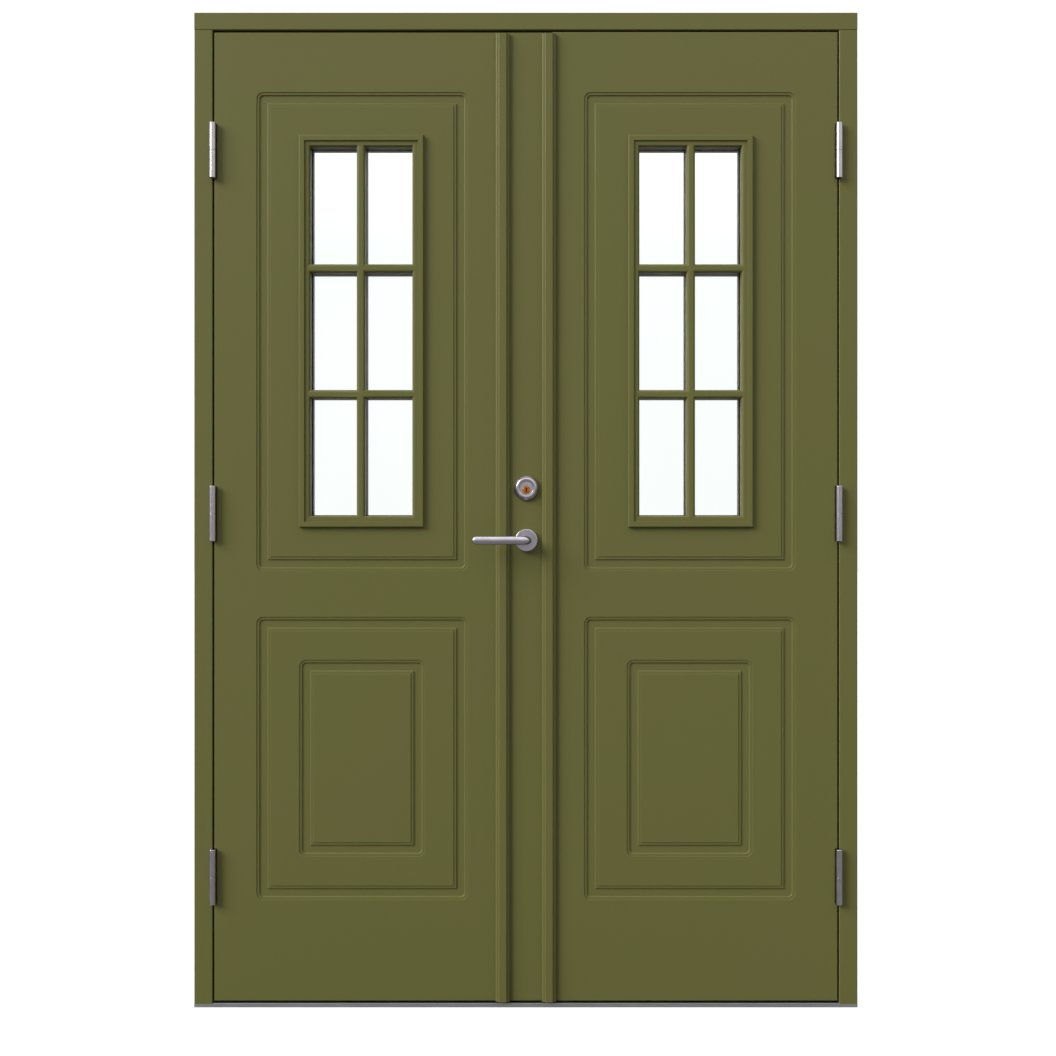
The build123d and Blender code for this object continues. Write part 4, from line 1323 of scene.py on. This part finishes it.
    def lever(self, shelf: Shelf, face: LeafFace) -> None:
        """A lever: a round neck that flows into a flat bar, bent once, with a round tip."""
        bench = Bench()
        half_depth, half_height, half_neck = 5.25 * MM, 8.6 * MM, 10.6 * MM
        bend_radius, bar_depth, length = 11.0 * MM, -52.0 * MM, 112.0 * MM
        bend_depth = bar_depth + bend_radius
        flare_depth, flare_steps = -20.0 * MM, 8
        gap, neck_sides, tip = 0.5 * MM, 40, 0.06
        side, reach = self.spindle
        foot = bench.circle(self.at(self.lever_z, -gap), self.neck_radius, neck_sides)
        hole = bench.ring(self.upright(side / 2, side / 2, self.lever_z, -gap))
        bench.fill([*foot, *hole])
        bench.fill(bench.draw_out(hole, (0, gap - reach, 0)))
        loop = bench.draw_out(foot, (0, flare_depth + gap, 0))
        flare = (half_neck / self.neck_radius) ** (1 / flare_steps)
        centre = Matrix.Translation(-self.at(self.lever_z))
        for _ in range(flare_steps):
            loop = bench.draw_out(loop, (0, (bend_depth - flare_depth) / flare_steps, 0))
            bmesh.ops.scale(bench.bm, vec=(flare, 1.0, 1.0), space=centre, verts=ends(loop))
        pivot = self.at(self.lever_z, bend_depth) - Vector((bend_radius, 0, 0))
        shares = (half_depth / half_neck, half_height / self.neck_radius)
        loop = bench.bend(loop, pivot, bend_radius, shares, 12)
        loop = bench.draw_out(loop, (bend_radius + half_height - length, 0, 0))
        centre = self.at(self.lever_z, bar_depth)
        left = 1.0
        for run, shrink in quarter(half_height, 1.0, 9, False):
            loop = bench.draw_out(loop, (-run, 0, 0))
            rest = max(left - shrink, tip)
            bench.swell(loop, centre, rest / left, along=0)
            left = rest
        bench.fill(loop)
        if face is LeafFace.INNER:
            bench.flip_depth()
        bench.finish(f"{face.value}_handle", "lever", Slot.STEEL, shelf, [f"lever_{face.value}"])

    def build(self, shelf: Shelf) -> None:
        """Make every piece of the furniture."""
        self.ring(shelf)
        self.cylinder(shelf)
        self.plug(shelf)
        self.thumb_rose(shelf)
        self.thumb(shelf)
        for face in LeafFace:
            self.rose(shelf, face)
            self.lever(shelf, face)


@dataclass
class HingeHalf:
    """One half of a lift-off hinge: its barrel, its plate and the plate's screws.

    Attributes:
        side: The leaf that the hinge carries.
        place: Its place on the leaf's edge.
        leaf_half: Whether it is the half on the leaf.
        height: Height of the hinge's middle.
        axis_x: How far its axis stands from the centre.
        axis_depth: Depth of its axis.
        barrel_radius: Radius of its barrel.
        length: Its length.
        gap: Gap between the halves.
        pin_radius: Radius of its pin.
        pin_play: Room between pin and bore.
        cap: Solid end of the upper barrel.
        plate: Thickness of a plate, and how deep it reaches.
        leaf_x: Where a leaf's hinge edge stands.
        reveal_x: Where the frame's reveal stands.
        screw_places: Level and share of the plate's depth for each screw.
    """

    side: LeafSide
    place: str
    leaf_half: bool
    height: float
    axis_x: float = 654.8 * MM
    axis_depth: float = -7.5 * MM
    barrel_radius: float = 7.0 * MM
    length: float = 116.0 * MM
    gap: float = 0.4 * MM
    pin_radius: float = 4.0 * MM
    pin_play: float = 0.05 * MM
    cap: float = 8.0 * MM
    plate: tuple[float, float] = (3.0 * MM, 45.0 * MM)
    leaf_x: float = 653.0 * MM
    reveal_x: float = 656.5 * MM
    screw_places: tuple[Point, ...] = ((-42.0 * MM, 0.62), (0.0, 0.36), (42.0 * MM, 0.62))

    def build(self, shelf: Shelf) -> None:
        """Make the half and put it on its leaf or on the frame."""
        bench = Bench()
        sign = self.side.value
        end = 1 if self.leaf_half else -1
        barrel = self.length / 2 - self.gap / 2
        foot = Vector((sign * self.axis_x, FACE_Y + self.axis_depth, self.height + end * self.gap / 2))
        bore = self.pin_radius + self.pin_play
        if self.leaf_half:
            outline = [(bore, 0.0), (self.barrel_radius, 0.0), (self.barrel_radius, barrel),
                       (0.0, barrel), (0.0, barrel - self.cap), (bore, barrel - self.cap)]
            rounds = {1: 0.4 * MM, 2: 1.2 * MM}
        else:
            pin = -(barrel - self.cap - 1 * MM)
            outline = [(0.0, pin), (self.pin_radius, pin), (self.pin_radius, 0.0),
                       (self.barrel_radius, 0.0), (self.barrel_radius, barrel), (0.0, barrel)]
            rounds = {1: 1.0 * MM, 3: 0.4 * MM, 4: 1.2 * MM}
        bench.spin(outline, foot, (0, 0, end), rounds, COARSE_TURN)
        thickness, depth = self.plate
        face_x = sign * (self.leaf_x if self.leaf_half else self.reveal_x)
        back_x = face_x - sign * end * thickness
        near, far = sorted((face_x, back_x))
        overlap = 1 * MM
        low, high = self.height - self.length / 2, self.height + self.length / 2
        bench.box((near, FACE_Y, low), (far, FACE_Y + depth, high))
        low, high = sorted((foot.z, foot.z + end * barrel))
        bench.box((near, FACE_Y + self.axis_depth, low), (far, FACE_Y + overlap, high))
        half = "leaf" if self.leaf_half else "frame"
        hand = "left" if self.side is LeafSide.ACTIVE else "right"
        node = f"hinge_{hand}_{self.place}_{half}_half"
        body = self.side.body if self.leaf_half else "frame"
        bench.finish(node.replace("hinge", "barrel"), body, Slot.STEEL, shelf, [node])
        places = [Vector((face_x, FACE_Y + depth * share, self.height + up))
                  for up, share in self.screw_places]
        screws = Screws(places, Vector((sign * end, 0, 0)))
        screws.build(shelf, f"screws_{hand}_{self.place}_{half}", body)


@dataclass
class Screws:
    """Countersunk screws whose heads lie in a plate's face.

    Attributes:
        places: Centre of each head, in the plate's face.
        facing: Which way the heads face.
        radius: Radius of a head.
        sides: Sides of its outline.
        proud: How far a head stands out.
        buried: How far its skirt reaches into the plate.
        slot_half: Half the width of the crossed recess.
        slot_reach: How far the recess reaches from the middle.
        slot_depth: Depth of the recess.
        turns: Turn of the first head, and what each next one adds, in radians.
    """

    places: Sequence[Vector]
    facing: Vector
    radius: float = 3.6 * MM
    sides: int = 28
    proud: float = 0.15 * MM
    buried: float = 0.2 * MM
    slot_half: float = 0.45 * MM
    slot_reach: float = 2.1 * MM
    slot_depth: float = 0.9 * MM
    turns: Span = (0.4, 1.1)

    def head(self, bench: Bench, place: Vector, turn: float) -> None:
        """Shape one head with a crossed recess, turned by an angle."""
        made = bmesh.ops.create_circle(bench.bm, cap_ends=False, radius=self.radius,
                                       segments=self.sides)["verts"]
        rim = list({edge for vert in made for edge in vert.link_edges})
        a, b = self.slot_half, self.slot_reach
        cross = bench.ring([(a, a, 0), (b, a, 0), (b, -a, 0), (a, -a, 0), (a, -b, 0), (-a, -b, 0),
                            (-a, -a, 0), (-b, -a, 0), (-b, a, 0), (-a, a, 0), (-a, b, 0), (a, b, 0)])
        before = {*made, *ends(cross)}
        bench.fill([*rim, *cross])
        floor = bench.draw_out(cross, (0, 0, -self.slot_depth))
        bench.fill(floor)
        skirt = bench.draw_out(rim, (0, 0, -self.proud - self.buried))
        bench.fill(skirt)
        facing = self.facing.to_track_quat("Z", "Y").to_matrix().to_4x4()
        seat = Matrix.Translation(place + self.facing * self.proud)
        matrix = seat @ facing @ Matrix.Rotation(turn, 4, "Z")
        bmesh.ops.transform(bench.bm, matrix=matrix, verts=list(before | {*ends(floor), *ends(skirt)}))

    def build(self, shelf: Shelf, name: str, body: str) -> None:
        """Make the heads as one piece."""
        bench = Bench()
        first, more = self.turns
        for index, place in enumerate(self.places):
            self.head(bench, place, first + more * index)
        bench.finish(name, body, Slot.STEEL, shelf)


@dataclass
class PlateScrews:
    """The screws of the plates let into the meeting edges and the head.

    Attributes:
        end: How far a screw stands from its plate's end.
        middle_depth: Depth of the plates' middle line.
        flush_length: Length of a flush bolt's plate.
        keeper: Reach of the head keeper's screws from its bolt, and its plate's thickness.
    """

    end: float = 8.0 * MM
    middle_depth: float = 31.0 * MM
    flush_length: float = 150.0 * MM
    keeper: tuple[float, float] = (22.0 * MM, 3.0 * MM)

    def edge(self, shelf: Shelf, node: str, side: LeafSide, spans: Sequence[Point]) -> None:
        """Screw an edge plate.

        Args:
            shelf: The materials.
            node: The plate's node.
            side: The leaf that it is let into.
            spans: Lowest and highest level of each plate in the node.
        """
        low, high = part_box(node)
        sag = (high.y - low.y) / 2 * math.tan(MEETING_LEAN)
        face_x = high.x - sag if side is LeafSide.ACTIVE else low.x + sag
        facing = Vector((-side.value * math.cos(MEETING_LEAN), math.sin(MEETING_LEAN), 0))
        levels = [level for bottom, top in spans for level in (bottom + self.end, top - self.end)]
        places = [Vector((face_x, FACE_Y + self.middle_depth, level)) for level in levels]
        Screws(places, facing).build(shelf, f"{node}_screws", side.body)

    def build(self, shelf: Shelf) -> None:
        """Drive every plate's screws."""
        for node, side in (("lock_faceplate", LeafSide.ACTIVE), ("strike_plate", LeafSide.PASSIVE)):
            low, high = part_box(node)
            self.edge(shelf, node, side, [(low.z, high.z)])
        low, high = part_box("flush_bolt_plates")
        spans = [(low.z, low.z + self.flush_length), (high.z - self.flush_length, high.z)]
        self.edge(shelf, "flush_bolt_plates", LeafSide.PASSIVE, spans)
        low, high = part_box("flush_bolt_keepers")
        reach, thickness = self.keeper
        places = [Vector(((low.x + high.x) / 2 + move, FACE_Y + self.middle_depth, high.z - thickness))
                  for move in (-reach, reach)]
        Screws(places, Vector((0, 0, -1))).build(shelf, "head_keeper_screws", "frame")


@dataclass(frozen=True)
class Studio:
    """The floor, the light and the camera.

    Attributes:
        floor_size: Side of the floor.
        floor_tone: How much light the floor gives back.
        floor_glow: How white the floor is to the camera and through glass.
        floor_gloss: How light it is in a reflection.
        key_strength: Strength of the one lamp.
        key_softness: Angle that the lamp seems to fill.
        key_path: Which way its light travels.
        fill: Room light from below and from above.
        fill_levels: Heights of view between which it changes.
        indoors: Room light from indoors, as shares of that from outdoors.
        indoors_levels: Depths of view between which it changes.
        mirror: What a reflection shows of the room below and above.
        mirror_levels: Heights of view between which it changes.
        lens: Focal length in millimetres.
        camera: Where the camera stands sideways and upward.
        camera_distance: How far it stands from the leaves.
    """

    floor_size: float = 60.0
    floor_tone: float = 0.14
    floor_glow: float = 0.88
    floor_gloss: float = 0.12
    key_strength: float = 3.9
    key_softness: float = math.radians(34)
    key_path: tuple[float, float, float] = (1.7, 1.0, -1.05)
    fill: Span = (0.02, 1.25)
    fill_levels: Span = (-0.05, 0.8)
    indoors: Span = (1.0, 2.3)
    indoors_levels: Span = (0.0, 0.4)
    mirror: Span = (0.06, 2.0)
    mirror_levels: Span = (-0.3, 0.7)
    lens: float = 50.0
    camera: Point = (4.4 * MM, 1004.4 * MM)
    camera_distance: float = 3.073

    def set_up(self) -> None:
        """Put up the floor, the light and the camera."""
        bpy.context.scene.view_settings.view_transform = "Standard"
        self.lay_floor()
        self.hang_key()
        self.light_room()
        self.place_camera()

    def lay_floor(self) -> None:
        """A pale floor that stays white to the camera and keeps a soft shadow."""
        bench = Bench()
        bmesh.ops.create_grid(bench.bm, x_segments=1, y_segments=1, size=self.floor_size / 2)
        mesh = bpy.data.meshes.new("floor")
        bench.bm.to_mesh(mesh)
        bench.bm.free()
        floor = bpy.data.objects.new("floor", mesh)
        bpy.context.scene.collection.objects.link(floor)
        material = bpy.data.materials.new("pale floor")
        material.use_nodes = True
        sheet = NodeSheet(material.node_tree)
        path = sheet.add("LightPath").outputs
        unreflected = sheet.math("LESS_THAN", path["Glossy Depth"], 0.5)
        through = sheet.math("MULTIPLY", path["Is Transmission Ray"], unreflected)
        seen = sheet.math("MAXIMUM", path["Is Camera Ray"], through)
        gloss = sheet.math("MULTIPLY", path["Is Glossy Ray"], self.floor_gloss)
        strength = sheet.math("MAXIMUM", sheet.math("MULTIPLY", seen, self.floor_glow), gloss)
        glow = sheet.add("Emission", {"Color": opaque(WHITE), "Strength": strength})
        matt = sheet.add("BsdfDiffuse", {"Color": (*[self.floor_tone] * 3, 1.0)})
        both = sheet.add("AddShader", {0: glow.outputs[0], 1: matt.outputs[0]})
        sheet.add("OutputMaterial", {"Surface": both.outputs[0]})
        mesh.materials.append(material)

    def hang_key(self) -> None:
        """A broad soft light from the left, a little above and almost along the doors."""
        lamp = bpy.data.lights.new("key", "SUN")
        lamp.energy = self.key_strength
        lamp.angle = self.key_softness
        key = bpy.data.objects.new("key", lamp)
        key.rotation_mode = "QUATERNION"
        key.rotation_quaternion = Vector(self.key_path).to_track_quat("-Z", "Y")
        bpy.context.scene.collection.objects.link(key)

    def light_room(self) -> None:
        """A room light that is brighter from above and from indoors, with a white background."""
        world = bpy.data.worlds.new("studio")
        world.use_nodes = True
        bpy.context.scene.world = world
        sheet = NodeSheet(world.node_tree)
        view = sheet.add("SeparateXYZ", {0: sheet.add("TexCoord").outputs["Generated"]}).outputs
        fill = sheet.ramp(view["Z"], self.fill_levels, self.fill)
        matt = sheet.math("MULTIPLY", fill, sheet.ramp(view["Y"], self.indoors_levels, self.indoors))
        mirror = sheet.ramp(view["Z"], self.mirror_levels, self.mirror)
        path = sheet.add("LightPath").outputs
        seen = sheet.math("MAXIMUM", path["Is Camera Ray"], path["Is Transmission Ray"])
        soft = sheet.add("Mix", {"Factor": path["Is Glossy Ray"], "A": matt, "B": mirror})
        strength = sheet.math("MAXIMUM", seen, soft.outputs["Result"])
        background = sheet.add("Background", {"Color": opaque(WHITE), "Strength": strength})
        sheet.add("OutputWorld", {"Surface": background.outputs[0]})

    def place_camera(self) -> None:
        """A level camera straight in front, as far off as the picture's parallax says."""
        data = bpy.data.cameras.new("camera")
        data.lens = self.lens
        data.sensor_width = 36.0
        data.clip_end = 200.0
        camera = bpy.data.objects.new("camera", data)
        x, z = self.camera
        camera.location = (x, FACE_Y - self.camera_distance, z)
        camera.rotation_euler = (math.radians(90), 0, 0)
        bpy.context.scene.collection.objects.link(camera)
        bpy.context.scene.camera = camera


def dress_nodes(frame: dict, shelf: Shelf) -> None:
    """Give every carried-over node the finish of its slot."""
    slots = {part["node"]: Slot(part["material_slot"]) for part in frame["record"]["subparts"]}
    for name, node in frame["nodes"].items():
        shelf.dress(node, slots[name])


def main() -> None:
    """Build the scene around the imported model."""
    logging.basicConfig(level=logging.INFO, format="%(message)s")
    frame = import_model()
    Studio().set_up()
    shelf = Shelf()
    dress_nodes(frame, shelf)
    for side in LeafSide:
        for face in LeafFace:
            FaceBoard(side, face).build(shelf)
            trim = WindowTrim(side, face)
            trim.build(shelf)
            grille = WindowGrille(trim)
            grille.build(shelf)
            if face is LeafFace.OUTER:
                WindowSpacer(grille).build(shelf)
    for node in ("decor_strip", "meeting_strip"):
        MouldedStrip(node).build(shelf)
    LockFurniture().build(shelf)
    for side in LeafSide:
        for place, height in HINGE_HEIGHTS.items():
            for leaf_half in (True, False):
                HingeHalf(side, place, leaf_half, height).build(shelf)
    PlateScrews().build(shelf)


if __name__ == "__main__":
    main()
